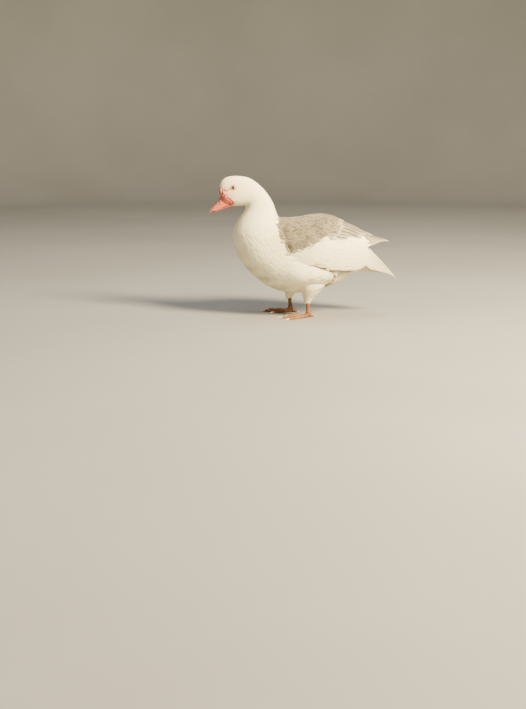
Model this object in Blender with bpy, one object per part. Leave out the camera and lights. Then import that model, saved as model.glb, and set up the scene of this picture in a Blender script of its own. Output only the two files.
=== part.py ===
"""A life-size muscovy duck standing still, divided as a person would name its parts.

Metres, +Z up. The duck faces -X, its left side is -Y, its soles rest on z = 0, and the
origin is on the floor under the middle of its length.
"""
import math
import random

import bmesh
import bpy
import numpy as np
from mathutils import Matrix, Vector

GAP = 0.0003  # left between touching pieces

# Each rib is a section of the body: the dorsal point (x, z), the ventral point (x, z), the half
# width, how far up it is widest, and the power of its curve (2 is an ellipse).
RIBS = {
    "tail_tip": ((0.222, 0.121), (0.216, 0.112), 0.010, 0.55, 2.0),
    "tail_core": ((0.194, 0.157), (0.180, 0.113), 0.024, 0.55, 2.0),
    "tail_root": ((0.163, 0.206), (0.141, 0.112), 0.037, 0.53, 2.0),
    "rump": ((0.128, 0.227), (0.112, 0.096), 0.054, 0.50, 2.1),
    "vent": ((0.088, 0.244), (0.078, 0.079), 0.069, 0.48, 2.1),
    "loin": ((0.048, 0.257), (0.038, 0.068), 0.079, 0.46, 2.2),
    "middle": ((0.008, 0.264), (0.000, 0.062), 0.085, 0.46, 2.2),
    "shoulder": ((-0.028, 0.265), (-0.047, 0.062), 0.086, 0.47, 2.2),
    "keel": ((-0.052, 0.265), (-0.090, 0.076), 0.082, 0.48, 2.2),
    "low_breast": ((-0.063, 0.265), (-0.128, 0.102), 0.077, 0.49, 2.1),
    "breast": ((-0.068, 0.268), (-0.162, 0.138), 0.071, 0.50, 2.1),
    "high_breast": ((-0.071, 0.272), (-0.184, 0.180), 0.063, 0.50, 2.0),
    "crop": ((-0.074, 0.280), (-0.191, 0.217), 0.053, 0.50, 2.0),
    "neck_base": ((-0.078, 0.291), (-0.1845, 0.244), 0.043, 0.50, 2.0),
    "low_neck": ((-0.084, 0.305), (-0.171, 0.266), 0.035, 0.50, 2.0),
    "mid_neck": ((-0.093, 0.320), (-0.159, 0.283), 0.029, 0.50, 2.0),
    "throat": ((-0.106, 0.337), (-0.156, 0.293), 0.0265, 0.50, 2.0),
    "nape": ((-0.124, 0.354), (-0.162, 0.295), 0.0255, 0.48, 2.0),
    "back_crown": ((-0.146, 0.368), (-0.172, 0.295), 0.0255, 0.45, 2.1),
    "crown": ((-0.170, 0.373), (-0.183, 0.295), 0.0250, 0.44, 2.2),
    "brow": ((-0.193, 0.373), (-0.193, 0.294), 0.0225, 0.44, 2.2),
    "forehead": ((-0.212, 0.367), (-0.201, 0.293), 0.0185, 0.43, 2.1),
    "face": ((-0.223, 0.353), (-0.207, 0.292), 0.0145, 0.42, 2.0),
    "bill_base": ((-0.226, 0.334), (-0.210, 0.293), 0.0110, 0.42, 2.0),
}
TAIL_CUT = "tail_root"
NECK_CUT = "neck_base"
HEAD_CUT = "throat"

# The flank feathers swell over the wing's lower edge and end in a round lobe.
FLANK_X, FLANK_Z = 0.015, 0.113
FLANK_LONG, FLANK_TALL, FLANK_DEEP = 0.066, 0.036, 0.011

# The outer form of the folded wings, by upright sections: x, top, widest height, bottom, half width.
WING_FORM = (
    (-0.080, 0.258, 0.190, 0.090, 0.074),
    (-0.040, 0.263, 0.186, 0.082, 0.087),
    (0.000, 0.266, 0.183, 0.080, 0.093),
    (0.040, 0.269, 0.183, 0.080, 0.093),
    (0.080, 0.262, 0.182, 0.084, 0.087),
    (0.120, 0.247, 0.181, 0.092, 0.074),
    (0.160, 0.227, 0.180, 0.104, 0.056),
    (0.200, 0.211, 0.184, 0.135, 0.036),
    (0.230, 0.202, 0.188, 0.165, 0.020),
)
WING_POWER = 2.15

# Tiers of wing feathers: how many, where roots and tips lie (x, angle down from the back in
# degrees, for the first and the last feather), half width, lift at the tip, thickness, rows of points.
WING_TIERS = {
    "primary": dict(count=4, root=((0.096, 34), (0.086, 60)), tip=((0.228, 28), (0.190, 66)),
                    half=0.0100, lift=(-0.007, -0.0005), thick=0.0009, rows=5),
    "tertial": dict(count=4, root=((0.048, 8), (0.042, 38)), tip=((0.184, 16), (0.150, 50)),
                    half=0.0125, lift=(-0.006, 0.0024), thick=0.0009, rows=5),
    "secondary": dict(count=6, root=((0.054, 48), (0.028, 106)), tip=((0.170, 60), (0.160, 120)),
                      half=0.0145, lift=(-0.007, 0.0008), thick=0.0009, rows=4),
    "greater_covert": dict(count=6, root=((0.034, 50), (0.010, 102)), tip=((0.112, 56), (0.098, 115)),
                           half=0.0135, lift=(-0.006, 0.0036), thick=0.0008, rows=4),
    "median_covert": dict(count=5, root=((0.000, 48), (-0.018, 94)), tip=((0.072, 54), (0.056, 107)),
                          half=0.0150, lift=(-0.006, 0.0046), thick=0.0008, rows=4),
    "scapular": dict(count=4, root=((-0.004, 9), (-0.026, 50)), tip=((0.104, 10), (0.086, 53)),
                     half=0.0150, lift=(-0.006, 0.0050), thick=0.0009, rows=4),
    "mantle": dict(count=3, root=((-0.056, 13), (-0.060, 46)), tip=((0.036, 12), (0.020, 46)),
                   half=0.0175, lift=(-0.006, 0.0054), thick=0.0009, rows=4),
}
SHINGLE_LEAN, WING_BEND = math.radians(8), 0.10  # each feather's lower edge stands out over the next

# The tail is a fan that droops, arched from side to side, its middle feathers highest and longest.
TAIL_SLOPE = math.radians(46)
TAIL_STEP, TAIL_LEAN, TAIL_CURL = 0.0007, math.radians(6), 0.006
TAIL_TIERS = {
    # where the middle one starts, its length, how much shorter the outer ones are, how many on a
    # side, the arc they spread over, its radius at root and tip, half width, how deep roots sink
    "rectrix": dict(start=(0.1585, 0.2045), length=0.1414, shorter=(0.30, 0.12), side_count=5,
                    arc=math.radians(70), round_=(0.041, 0.041), half=0.0155, sink=0.007, rows=4),
    "covert": dict(start=(0.1590, 0.2125), length=0.0560, shorter=(0.05, 0.10), side_count=2,
                   arc=math.radians(56), round_=(0.041, 0.043), half=0.0190, sink=0.008, rows=4),
}

# The eye, and the bill by its own ribs: upper and lower point (x, z), half width.
EYE_AT, EYE_RADIUS = (-0.1895, 0.3445), 0.0068
LID_RADIUS, LID_THICK = 0.0062, 0.0016
UPPER_BILL = (
    ((-0.206, 0.326), (-0.186, 0.3036), 0.0095),
    ((-0.222, 0.3190), (-0.200, 0.2987), 0.0120),
    ((-0.2285, 0.3095), (-0.2110, 0.2945), 0.0122),
    ((-0.2370, 0.2990), (-0.2240, 0.2890), 0.0120),
    ((-0.2455, 0.2910), (-0.2370, 0.2838), 0.0118),
    ((-0.2508, 0.2835), (-0.2460, 0.2803), 0.0085),
    ((-0.2529, 0.2775), (-0.2516, 0.2760), 0.0026),
)
LOWER_BILL = (
    ((-0.184, 0.3037), (-0.184, 0.2960), 0.0080),
    ((-0.199, 0.2984), (-0.199, 0.2915), 0.0106),
    ((-0.2105, 0.2940), (-0.212, 0.2878), 0.0108),
    ((-0.2235, 0.2886), (-0.225, 0.2828), 0.0108),
    ((-0.2365, 0.2834), (-0.2368, 0.2788), 0.0104),
    ((-0.2450, 0.2801), (-0.2454, 0.2768), 0.0060),
)
BILL_POWER, UPPER_WIDEST, LOWER_WIDEST = 2.3, 0.05, 0.93
NOSTRIL_AT, NOSTRIL_SIZE = (-0.2275, 0.3055), (0.0030, 0.0030, 0.0013)
NOSTRIL_SPREAD = 0.0066

# Caruncles: rings of warty bulbs round the bill's base and on the bare skin before the eye.
CARUNCLE_SEED = 7
CARUNCLES = (
    # x and z of the row's ends, bulbs in the row, radius at each end
    ((-0.2262, 0.3285), (-0.1950, 0.3050), 5, 0.0039, 0.0028),
    ((-0.2245, 0.3355), (-0.1920, 0.3115), 5, 0.0034, 0.0024),
    ((-0.2165, 0.3395), (-0.2010, 0.3365), 2, 0.0025, 0.0020),
    ((-0.1885, 0.3060), (-0.1860, 0.3130), 2, 0.0021, 0.0017),
)
CARUNCLE_LONG, CARUNCLE_SINK = 1.45, 0.25
KNOB = ((-0.2262, 0.3300), (-0.2248, 0.3370), (-0.2225, 0.3440))

# Legs: where each stands, and how far its thigh leans.
LEG_SIDE = 0.046
LEFT_LEG, RIGHT_LEG = dict(x=0.008, lean=-0.002), dict(x=-0.028, lean=-0.004)
THIGH_FORM = (
    # height, x from the leg's own, half length, half width
    (0.112, 0.012, 0.040, 0.026),
    (0.088, 0.011, 0.036, 0.026),
    (0.070, 0.008, 0.026, 0.021),
    (0.056, 0.003, 0.016, 0.0145),
    (0.0445, 0.000, 0.0105, 0.0100),
)
SHANK_TOP, SHANK_FOOT = 0.0445, 0.0150
SHANK_FORM = ((0.0, 0.0070, 0.0058), (0.4, 0.0052, 0.0043), (0.75, 0.0053, 0.0045), (1.0, 0.0064, 0.0060))

# Toes: heading from straight ahead, length to the claw, radius at root and end, claw length.
TOES = {
    "inner": (math.radians(30), 0.056, 0.0054, 0.0034, 0.0120),
    "middle": (math.radians(2), 0.072, 0.0058, 0.0037, 0.0135),
    "outer": (math.radians(-24), 0.068, 0.0054, 0.0034, 0.0120),
    "hind": (math.radians(155), 0.0200, 0.0042, 0.0028, 0.0080),
}
TOE_OUT = math.radians(8)  # each foot turns out a little
WEB_THICK, WEB_HEIGHT, WEB_BAY = 0.0014, 0.0024, 0.20
SOLE_CUT = 0.0010

COLOURS = {
    "white_plumage": ((0.86, 0.82, 0.72), 0.85),
    "grey_plumage": ((0.42, 0.39, 0.33), 0.85),
    "bill_horn": ((0.78, 0.36, 0.28), 0.45),
    "bare_skin": ((0.76, 0.27, 0.22), 0.55),
    "eye_brown": ((0.16, 0.09, 0.05), 0.08),
    "leg_skin": ((0.55, 0.30, 0.14), 0.60),
    "claw_horn": ((0.62, 0.52, 0.42), 0.40),
}


def clear_scene():
    for obj in list(bpy.data.objects):
        bpy.data.objects.remove(obj)


def new_collection(name):
    found = bpy.data.collections.new(name)
    bpy.context.scene.collection.children.link(found)
    return found


def make_materials():
    made = {}
    for name, (rgb, roughness) in COLOURS.items():
        material = bpy.data.materials.new(name)
        material.use_nodes = True
        shader = material.node_tree.nodes["Principled BSDF"]
        shader.inputs["Base Color"].default_value = (*rgb, 1)
        shader.inputs["Roughness"].default_value = roughness
        made[name] = material
    return made


def spline(knots, values, at):
    """A natural cubic through the values at the knots, read at each place in at."""
    k, v, at = np.asarray(knots, float), np.asarray(values, float), np.asarray(at, float)
    h = np.diff(k)
    system, right = np.eye(len(k)), np.zeros_like(v)
    for i in range(1, len(k) - 1):
        system[i, i - 1 : i + 2] = h[i - 1], 2 * (h[i - 1] + h[i]), h[i]
        right[i] = 3 * ((v[i + 1] - v[i]) / h[i] - (v[i] - v[i - 1]) / h[i - 1])
    c = np.linalg.solve(system, right)
    i = np.clip(np.searchsorted(k, at, side="right") - 1, 0, len(h) - 1)
    d = at - k[i]
    shape = (-1,) + (1,) * (v.ndim - 1)
    hi, d = h[i].reshape(shape), d.reshape(shape)
    slope = (v[i + 1] - v[i]) / hi - hi * (2 * c[i] + c[i + 1]) / 3
    return v[i] + d * (slope + d * (c[i] + d * (c[i + 1] - c[i]) / (3 * hi)))


def signed_power(value, power):
    return np.sign(value) * np.abs(value) ** power


def rib_places():
    """How far along the body each rib's middle lies."""
    middles = np.array([np.add(r[0], r[1]) / 2 for r in RIBS.values()])
    return np.concatenate([[0], np.cumsum(np.linalg.norm(np.diff(middles, axis=0), axis=1))])


def body_points(places, angles):
    """Points of the body's skin: one row for each place along it, angles from the back round by the left."""
    table = np.array([[*r[0], *r[1], *r[2:]] for r in RIBS.values()])
    dx, dz, vx, vz, half, widest, power = spline(rib_places(), table, places).T[:, :, None]
    t = np.asarray(angles)[None, :]
    length = np.hypot(dx - vx, dz - vz)
    ex, ez = (dx - vx) / length, (dz - vz) / length
    rise = signed_power(np.cos(t), 2 / power)
    rise = rise * length * np.where(rise > 0, 1 - widest, widest)
    across = signed_power(np.sin(t), 2 / power)
    x, y, z = vx + ex * (widest * length + rise), -half * across, vz + ez * (widest * length + rise)
    swell = FLANK_DEEP * np.exp(-(((x - FLANK_X) / FLANK_LONG) ** 4) - ((z - FLANK_Z) / FLANK_TALL) ** 2)
    swell = swell * np.abs(across) ** 1.5
    return np.stack([x, y - swell * np.sign(across), z - 0.4 * swell], axis=-1)


def outward(grid):
    """Unit normals of a grid of points that closes on itself round its rows."""
    along = np.gradient(grid, axis=0)
    round_ = np.roll(grid, -1, axis=1) - np.roll(grid, 1, axis=1)
    normal = np.cross(along, round_)
    normal /= np.maximum(np.linalg.norm(normal, axis=2, keepdims=True), 1e-12)
    out = grid - grid.mean(axis=1, keepdims=True)
    return normal * np.sign((normal * out).sum())


def grown(grid, amount):
    """The same rows of points moved outwards, at the ends too."""
    bigger = grid + outward(grid) * amount
    for end, inside in ((0, 1), (-1, -2)):
        away = grid[end].mean(axis=0) - grid[inside].mean(axis=0)
        bigger[end] += away / np.linalg.norm(away) * amount
    return bigger


def tube_mesh(name, grid):
    """A closed mesh from rows of points: quads between the rows and a flat cap at each end."""
    rows, count = grid.shape[:2]
    bm = bmesh.new()
    rings = [[bm.verts.new(p) for p in row] for row in grid]
    for a, b in zip(rings, rings[1:]):
        for i in range(count):
            j = (i + 1) % count
            bm.faces.new((a[i], a[j], b[j], b[i]))
    bm.faces.new(rings[0])
    bm.faces.new(rings[-1])
    bmesh.ops.recalc_face_normals(bm, faces=bm.faces)
    mesh = bpy.data.meshes.new(name)
    bm.to_mesh(mesh)
    bm.free()
    return mesh


def place(name, mesh, collection, material=None):
    obj = bpy.data.objects.new(name, mesh)
    collection.objects.link(obj)
    if material:
        mesh.materials.clear()
        mesh.materials.append(material)
    return obj


def hide(cutter):
    cutter.hide_render = True
    cutter.display_type = "WIRE"
    return cutter


def whole_body(name, grow=0.0, rows=35, count=28, start=0.0):
    """The body's skin as one closed mesh, from a share of its length to the bill's base."""
    places = np.linspace(start, 1, rows) * rib_places()[-1]
    grid = body_points(places, np.arange(count) / count * 2 * math.pi)
    return tube_mesh(name, grown(grid, grow) if grow else grid)


def cut_plane(rib, side, gap=GAP / 2):
    """A point and normal of the cut at a rib, moved by half the gap towards the kept side."""
    dorsal, ventral = RIBS[rib][0], RIBS[rib][1]
    along = Vector((dorsal[0] - ventral[0], 0, dorsal[1] - ventral[1])).normalized()
    normal = Vector((0, 1, 0)).cross(along) * side
    return Vector((dorsal[0], 0, dorsal[1])) - normal * gap, normal


def keep_behind(mesh, point, normal):
    """Cuts away what lies beyond the plane, on the side its normal points to, and closes the cut."""
    bm = bmesh.new()
    bm.from_mesh(mesh)
    everything = bm.verts[:] + bm.edges[:] + bm.faces[:]
    bmesh.ops.bisect_plane(bm, geom=everything, plane_co=point, plane_no=normal, clear_outer=True)
    bmesh.ops.holes_fill(bm, edges=[e for e in bm.edges if e.is_boundary])
    bmesh.ops.triangulate(bm, faces=[f for f in bm.faces if len(f.verts) > 4])
    bmesh.ops.recalc_face_normals(bm, faces=bm.faces)
    bm.to_mesh(mesh)
    bm.free()
    return mesh


def evaluated_mesh(obj):
    graph = bpy.context.evaluated_depsgraph_get()
    return bpy.data.meshes.new_from_object(obj.evaluated_get(graph), depsgraph=graph)


def boolean(obj, operation, others, solver="MANIFOLD"):
    """Joins or cuts obj with a collection of closed meshes, applies it and removes them."""
    group = new_collection(obj.name + "_" + operation.lower())
    for n, mesh in enumerate(others):
        hide(place(f"{obj.name}_tool_{n}", mesh, group))
    modifier = obj.modifiers.new(operation.title(), "BOOLEAN")
    modifier.operation = operation
    modifier.operand_type = "COLLECTION"
    modifier.collection = group
    modifier.solver = solver
    bpy.context.view_layer.update()
    mesh = evaluated_mesh(obj)
    obj.modifiers.clear()
    old, obj.data = obj.data, mesh
    bpy.data.meshes.remove(old)
    for tool in list(group.objects):
        bpy.data.objects.remove(tool)
    bpy.data.collections.remove(group)
    keep_largest(obj.data)


def keep_largest(mesh):
    """Drops all but the largest closed surface: loose scraps and sealed hollows go."""
    bm = bmesh.new()
    bm.from_mesh(mesh)
    bmesh.ops.triangulate(bm, faces=bm.faces)
    bm.faces.ensure_lookup_table()
    seen, islands = set(), []
    for start in bm.faces:
        if start.index in seen:
            continue
        seen.add(start.index)
        island, stack = [], [start]
        while stack:
            face = stack.pop()
            island.append(face)
            for edge in face.edges:
                for other in edge.link_faces:
                    if other.index not in seen:
                        seen.add(other.index)
                        stack.append(other)
        islands.append(island)
    islands.sort(key=lambda island: -abs(volume_of(island)))
    drop = [face for island in islands[1:] for face in island]
    bmesh.ops.delete(bm, geom=drop, context="FACES")
    bm.to_mesh(mesh)
    bm.free()


def volume_of(faces):
    total = 0.0
    for face in faces:
        a, b, c = (v.co for v in face.verts)
        total += a.dot(b.cross(c)) / 6
    return total


def ball(centre, radii, turn=None, columns=8, rows=6):
    """A closed ellipsoid as a mesh."""
    bm = bmesh.new()
    bmesh.ops.create_uvsphere(bm, u_segments=columns, v_segments=rows, radius=1)
    matrix = Matrix.Translation(centre) @ (turn or Matrix.Identity(4)) @ Matrix.Diagonal((*radii, 1))
    bm.transform(matrix)
    mesh = bpy.data.meshes.new("ball")
    bm.to_mesh(mesh)
    bm.free()
    return mesh


def vane(spine, normals, halves, thick, lean, bend):
    """A feather as a thin closed leaf along its shaft, split into triangles alike on both faces.

    It leans about its shaft, and its edges bend down by the curve of a circle of radius bend.
    """
    spine, normals = np.asarray(spine), np.asarray(normals)
    along = np.gradient(spine, axis=0)
    along /= np.linalg.norm(along, axis=1, keepdims=True)
    across = np.cross(normals, along)
    across /= np.linalg.norm(across, axis=1, keepdims=True)
    up = np.cross(along, across)
    side = across * math.cos(lean) + up * math.sin(lean)
    face = np.cross(along, side)
    bm = bmesh.new()
    rows = []
    for p, s, n, half in zip(spine, side, face, halves):
        drop = half * half / (2 * bend)
        middle = [p - s * half - n * drop, p, p + s * half - n * drop]
        rows.append([[bm.verts.new(q + n * h) for q in middle] for h in (thick / 2, -thick / 2)])
    for (top, low), (next_top, next_low) in zip(rows, rows[1:]):
        for i in range(2):
            for a, b in ((top, next_top), (low, next_low)):
                bm.faces.new((a[i], a[i + 1], b[i + 1]))
                bm.faces.new((a[i], b[i + 1], b[i]))
        for i in (0, 2):
            bm.faces.new((top[i], next_top[i], next_low[i]))
            bm.faces.new((top[i], next_low[i], low[i]))
    for top, low in (rows[0], rows[-1]):
        for i in range(2):
            bm.faces.new((top[i], top[i + 1], low[i + 1]))
            bm.faces.new((top[i], low[i + 1], low[i]))
    bmesh.ops.recalc_face_normals(bm, faces=bm.faces)
    mesh = bpy.data.meshes.new("vane")
    bm.to_mesh(mesh)
    bm.free()
    return mesh


def tip_crowded(rows):
    """Places along a feather, closer together near its round tip."""
    return 1 - (1 - np.linspace(0, 1, rows)) ** 1.5


def feather_halves(half, rows, root=0.55, tip=0.30):
    """Half widths along a feather: narrow at the root, full for most of it, round at the tip."""
    u = tip_crowded(rows)
    swell = root + (1 - root) * np.minimum(1, u / 0.35)
    end = np.sqrt(np.clip(1 - ((u - 0.72) / 0.28).clip(0) ** 2, tip**2, 1))
    return half * swell * end


def wing_point(x, degrees):
    """A point and outward normal of the left wing's outer form, and the same for rows of them."""
    x, t = np.atleast_1d(np.asarray(x, float)), np.radians(np.atleast_1d(np.asarray(degrees, float)))
    form = np.array(WING_FORM)

    def at(x, t):
        top, widest, bottom, half = spline(form[:, 0], form[:, 1:], x).T
        rise = signed_power(np.cos(t), 2 / WING_POWER)
        height = widest + rise * np.where(rise > 0, top - widest, widest - bottom)
        return np.stack([x, -half * signed_power(np.sin(t), 2 / WING_POWER), height], axis=-1)

    here, step = at(x, t), 0.002
    normal = np.cross(at(x + step, t) - at(x - step, t), at(x, t + step * 10) - at(x, t - step * 10))
    normal /= np.linalg.norm(normal, axis=1, keepdims=True)
    normal *= np.sign(-normal[:, 1:2] + 1e-9) if (normal[:, 1] > 0).all() else 1
    return here, normal


def wing_core(material, collection):
    """The wing's body under its feathers: a curved pad against the duck's side."""
    xs = np.linspace(-0.070, 0.128, 10)
    rows = []
    for k, x in enumerate(xs):
        share = k / (len(xs) - 1)
        top, low = 7 + 8 * share**2, 104 - 2 * share
        angles = np.linspace(top, low, 7)
        outer, normal = wing_point(np.full(7, x), angles)
        depth = 0.0042 + 0.010 * max(0, 1 - share / 0.12) ** 2
        inner_depth = 0.024 - 0.012 * share
        outer_row = outer - normal * depth
        inner_row = (outer - normal * (depth + inner_depth))[::-1]
        rows.append(np.concatenate([outer_row, inner_row]))
    return place("wing_left", tube_mesh("wing_left", np.array(rows)), collection, material)


def tier_vanes(tier):
    """The vanes of one tier of the left wing, from the back down."""
    made = []
    for k in range(tier["count"]):
        f = k / (tier["count"] - 1)
        root = [a + (b - a) * f for a, b in zip(*tier["root"])]
        tip = [a + (b - a) * f for a, b in zip(*tier["tip"])]
        u = tip_crowded(tier["rows"])
        points, normals = wing_point(root[0] + (tip[0] - root[0]) * u, root[1] + (tip[1] - root[1]) * u)
        low, high = tier["lift"]
        lift = low + (high - low) * np.minimum(1, u * 1.6)
        spine = points + normals * lift[:, None]
        halves = feather_halves(tier["half"], tier["rows"])
        made.append(vane(spine, normals, halves, tier["thick"], SHINGLE_LEAN, WING_BEND))
    return made


def mirrored(mesh):
    """A copy of a mesh on the duck's other side."""
    copy = mesh.copy()
    copy.transform(Matrix.Diagonal((1, -1, 1, 1)))
    copy.flip_normals()
    return copy


def make_wings(materials, collection):
    left = wing_core(materials["white_plumage"], collection)
    boolean(left, "UNION", [m for tier in WING_TIERS.values() for m in tier_vanes(tier)])
    boolean(left, "DIFFERENCE", [whole_body("grown", GAP * 1.3)])
    place("wing_right", mirrored(left.data), collection, materials["white_plumage"])


def tail_vanes(tier):
    """The vanes of one tier of the tail, on an arc from side to side."""
    back = Vector((math.cos(TAIL_SLOPE), 0, -math.sin(TAIL_SLOPE)))
    up = Vector((math.sin(TAIL_SLOPE), 0, math.cos(TAIL_SLOPE)))
    side = Vector((0, 1, 0))
    top = Vector((tier["start"][0], 0, tier["start"][1]))
    count, rows = tier["side_count"], tier["rows"]
    made = []
    for k in range(-count, count + 1):
        f, arc = abs(k) / count, k / count * tier["arc"]
        normal = up * math.cos(arc) + side * math.sin(arc)
        length = tier["length"] * (1 - tier["shorter"][0] * f - tier["shorter"][1] * f * f)
        spine = []
        for u in tip_crowded(rows):
            wide = tier["round_"][0] + (tier["round_"][1] - tier["round_"][0]) * u
            sink = abs(k) * TAIL_STEP + tier["sink"] * (1 - u) ** 2 + TAIL_CURL * u * u
            spine.append(top + back * (length * u) + normal * (wide - sink) - up * wide)
        halves = feather_halves(tier["half"], rows)
        made.append(vane(spine, [normal] * rows, halves, 0.0009, TAIL_LEAN * np.sign(k), tier["round_"][1]))
    return made


def make_tail(materials, collection):
    mesh = keep_behind(whole_body("tail"), *cut_plane(TAIL_CUT, -1))
    tail = place("tail", mesh, collection, materials["white_plumage"])
    boolean(tail, "UNION", [m for tier in TAIL_TIERS.values() for m in tail_vanes(tier)])
    keep_behind(tail.data, *cut_plane(TAIL_CUT, -1))
    keep_largest(tail.data)


def make_torso_and_neck(materials, collection):
    torso = keep_behind(whole_body("torso"), *cut_plane(TAIL_CUT, 1))
    keep_behind(torso, *cut_plane(NECK_CUT, -1))
    place("torso", torso, collection, materials["white_plumage"])
    neck = keep_behind(whole_body("neck"), *cut_plane(NECK_CUT, 1))
    keep_behind(neck, *cut_plane(HEAD_CUT, -1))
    place("neck", neck, collection, materials["white_plumage"])


def bill_grid(ribs, widest, grow=0.0, rows=11, count=12):
    """Rows of points round a half of the bill, flat on the side where it meets the other."""
    table = np.array([[*r[0], *r[1], r[2]] for r in ribs])
    middles = (table[:, :2] + table[:, 2:4]) / 2
    knots = np.concatenate([[0], np.cumsum(np.linalg.norm(np.diff(middles, axis=0), axis=1))])
    dx, dz, vx, vz, half = spline(knots, table, np.linspace(0, knots[-1], rows)).T[:, :, None]
    t = (np.arange(count) / count * 2 * math.pi)[None, :]
    rise = signed_power(np.cos(t), 2 / BILL_POWER)
    rise = widest + rise * np.where(rise > 0, 1 - widest, widest)
    x, z = vx + (dx - vx) * rise, vz + (dz - vz) * rise
    grid = np.stack([x, -half * signed_power(np.sin(t), 2 / BILL_POWER), z], axis=-1)
    return grown(grid, grow) if grow else grid


def head_side(x, z):
    """The half width of the head at a place in its side view, and the outward normal there."""
    places = np.linspace(rib_places()[-8], rib_places()[-1], 60)
    angles = np.linspace(0, math.pi, 61)
    grid = body_points(places, angles)
    row, col = np.unravel_index(((grid[..., 0] - x) ** 2 + (grid[..., 2] - z) ** 2).argmin(), grid.shape[:2])
    row, col = min(max(row, 1), 58), min(max(col, 1), 59)
    normal = np.cross(grid[row + 1, col] - grid[row - 1, col], grid[row, col + 1] - grid[row, col - 1])
    normal /= np.linalg.norm(normal)
    return Vector(grid[row, col]), Vector(normal * (-1 if normal[1] > 0 else 1))


def caruncle_bulbs():
    """Warty folds and bulbs on both sides of the face, and the knob over the bill's root."""
    draw = random.Random(CARUNCLE_SEED)
    bulbs = []
    for start, end, count, first, last in CARUNCLES:
        slope = math.atan2(start[1] - end[1], end[0] - start[0])
        for k in range(count):
            f = k / (count - 1)
            x = start[0] + (end[0] - start[0]) * f + draw.uniform(-0.0008, 0.0008)
            z = start[1] + (end[1] - start[1]) * f + draw.uniform(-0.0008, 0.0008)
            at, normal = head_side(x, z)
            radius = (first + (last - first) * f) * draw.uniform(0.85, 1.15)
            centre = at - normal * (radius * CARUNCLE_SINK)
            turn = Matrix.Rotation(slope + draw.uniform(-0.7, 0.7), 4, "Y")
            radii = (radius * CARUNCLE_LONG, radius * 0.85, radius)
            bulb = ball(centre, radii, turn, columns=6, rows=4)
            bulbs += [bulb, mirrored(bulb)]
    for n, (x, z) in enumerate(KNOB):
        radius = 0.0042 - 0.0006 * n
        bulbs.append(ball((x, 0.0012 * (-1) ** n, z), (radius * 0.8, radius * 1.3, radius), columns=8, rows=6))
    return bulbs


def lid_ring(side):
    """A fleshy ring round the eye."""
    bm = bmesh.new()
    turns, sides = 14, 5
    rings = []
    for i in range(turns):
        a = 2 * math.pi * i / turns
        out = Vector((math.cos(a), 0, math.sin(a) * 0.86))
        ring = []
        for j in range(sides):
            b = 2 * math.pi * j / sides
            p = out * (LID_RADIUS + LID_THICK * math.cos(b)) + Vector((0, -1, 0)) * (LID_THICK * 1.1 * math.sin(b))
            ring.append(bm.verts.new(p))
        rings.append(ring)
    for i in range(turns):
        a, b = rings[i], rings[(i + 1) % turns]
        for j in range(sides):
            bm.faces.new((a[j], a[(j + 1) % sides], b[(j + 1) % sides], b[j]))
    bmesh.ops.recalc_face_normals(bm, faces=bm.faces)
    at, normal = head_side(*EYE_AT)
    turn = Vector((0, -1, 0)).rotation_difference(normal).to_matrix().to_4x4()
    bm.transform(Matrix.Translation(at - normal * 0.0002) @ turn)
    mesh = bpy.data.meshes.new("lid")
    bm.to_mesh(mesh)
    bm.free()
    return mesh if side < 0 else mirrored(mesh)


def eye_centre(side):
    at, normal = head_side(*EYE_AT)
    centre = at - normal * (EYE_RADIUS * 0.62)
    return Vector((centre.x, abs(centre.y) * side, centre.z))


def make_head(materials, collection):
    mesh = keep_behind(whole_body("head", rows=23, count=26, start=0.66), *cut_plane(HEAD_CUT, 1))
    head = place("head", mesh, collection, materials["white_plumage"])
    boolean(head, "UNION", caruncle_bulbs() + [lid_ring(-1), lid_ring(1)])
    cutters = [tube_mesh("bill_cut", grid) for grid in (
        bill_grid(UPPER_BILL, UPPER_WIDEST, GAP * 1.2), bill_grid(LOWER_BILL, LOWER_WIDEST, GAP * 1.2),
        bill_grid(bridge_ribs(), 0.5, GAP))]
    for side in (-1, 1):
        grown = EYE_RADIUS + GAP * 1.2
        cutters.append(ball(eye_centre(side), (grown,) * 3, columns=12, rows=8))
    boolean(head, "DIFFERENCE", cutters)


def bridge_ribs():
    """Fills the line of the mouth inside the head, so that no thin sheet is left in the socket."""
    return [((u[1][0], u[1][1] + 0.002), (l[0][0], l[0][1] - 0.002), min(u[2], l[2]) * 0.98)
            for u, l in zip(UPPER_BILL[:6], LOWER_BILL)]


def make_bill(materials, collection):
    upper = place("bill_upper", tube_mesh("bill_upper", bill_grid(UPPER_BILL, UPPER_WIDEST)), collection, materials["bill_horn"])
    slope = math.atan2(0.3185 - 0.2905, -0.222 + 0.2455)
    turn = Matrix.Rotation(slope, 4, "Y")
    holes = [ball((NOSTRIL_AT[0], s * NOSTRIL_SPREAD, NOSTRIL_AT[1]), NOSTRIL_SIZE, turn, 10, 8) for s in (-1, 1)]
    boolean(upper, "DIFFERENCE", holes)
    place("bill_lower", tube_mesh("bill_lower", bill_grid(LOWER_BILL, LOWER_WIDEST)), collection, materials["bill_horn"])


def make_eyes(materials, collection):
    for name, side in (("eye_left", -1), ("eye_right", 1)):
        mesh = ball(eye_centre(side), (EYE_RADIUS,) * 3, columns=12, rows=8)
        place(name, mesh, collection, materials["eye_brown"])


def ellipse_rows(sections, count):
    """Level rows of points: each section is a centre, a half length in x and a half width in y."""
    t = np.arange(count) / count * 2 * math.pi
    return np.array([[(c[0] + a * math.cos(s), c[1] + b * math.sin(s), c[2]) for s in t] for c, a, b in sections])


def leg_x(leg, height):
    """The x of a leg's line at a height: upright at the foot, leaning towards the thigh."""
    return leg["x"] + leg["lean"] * min(1.0, max(0.0, (height - 0.010) / (SHANK_TOP - 0.010)))


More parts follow.
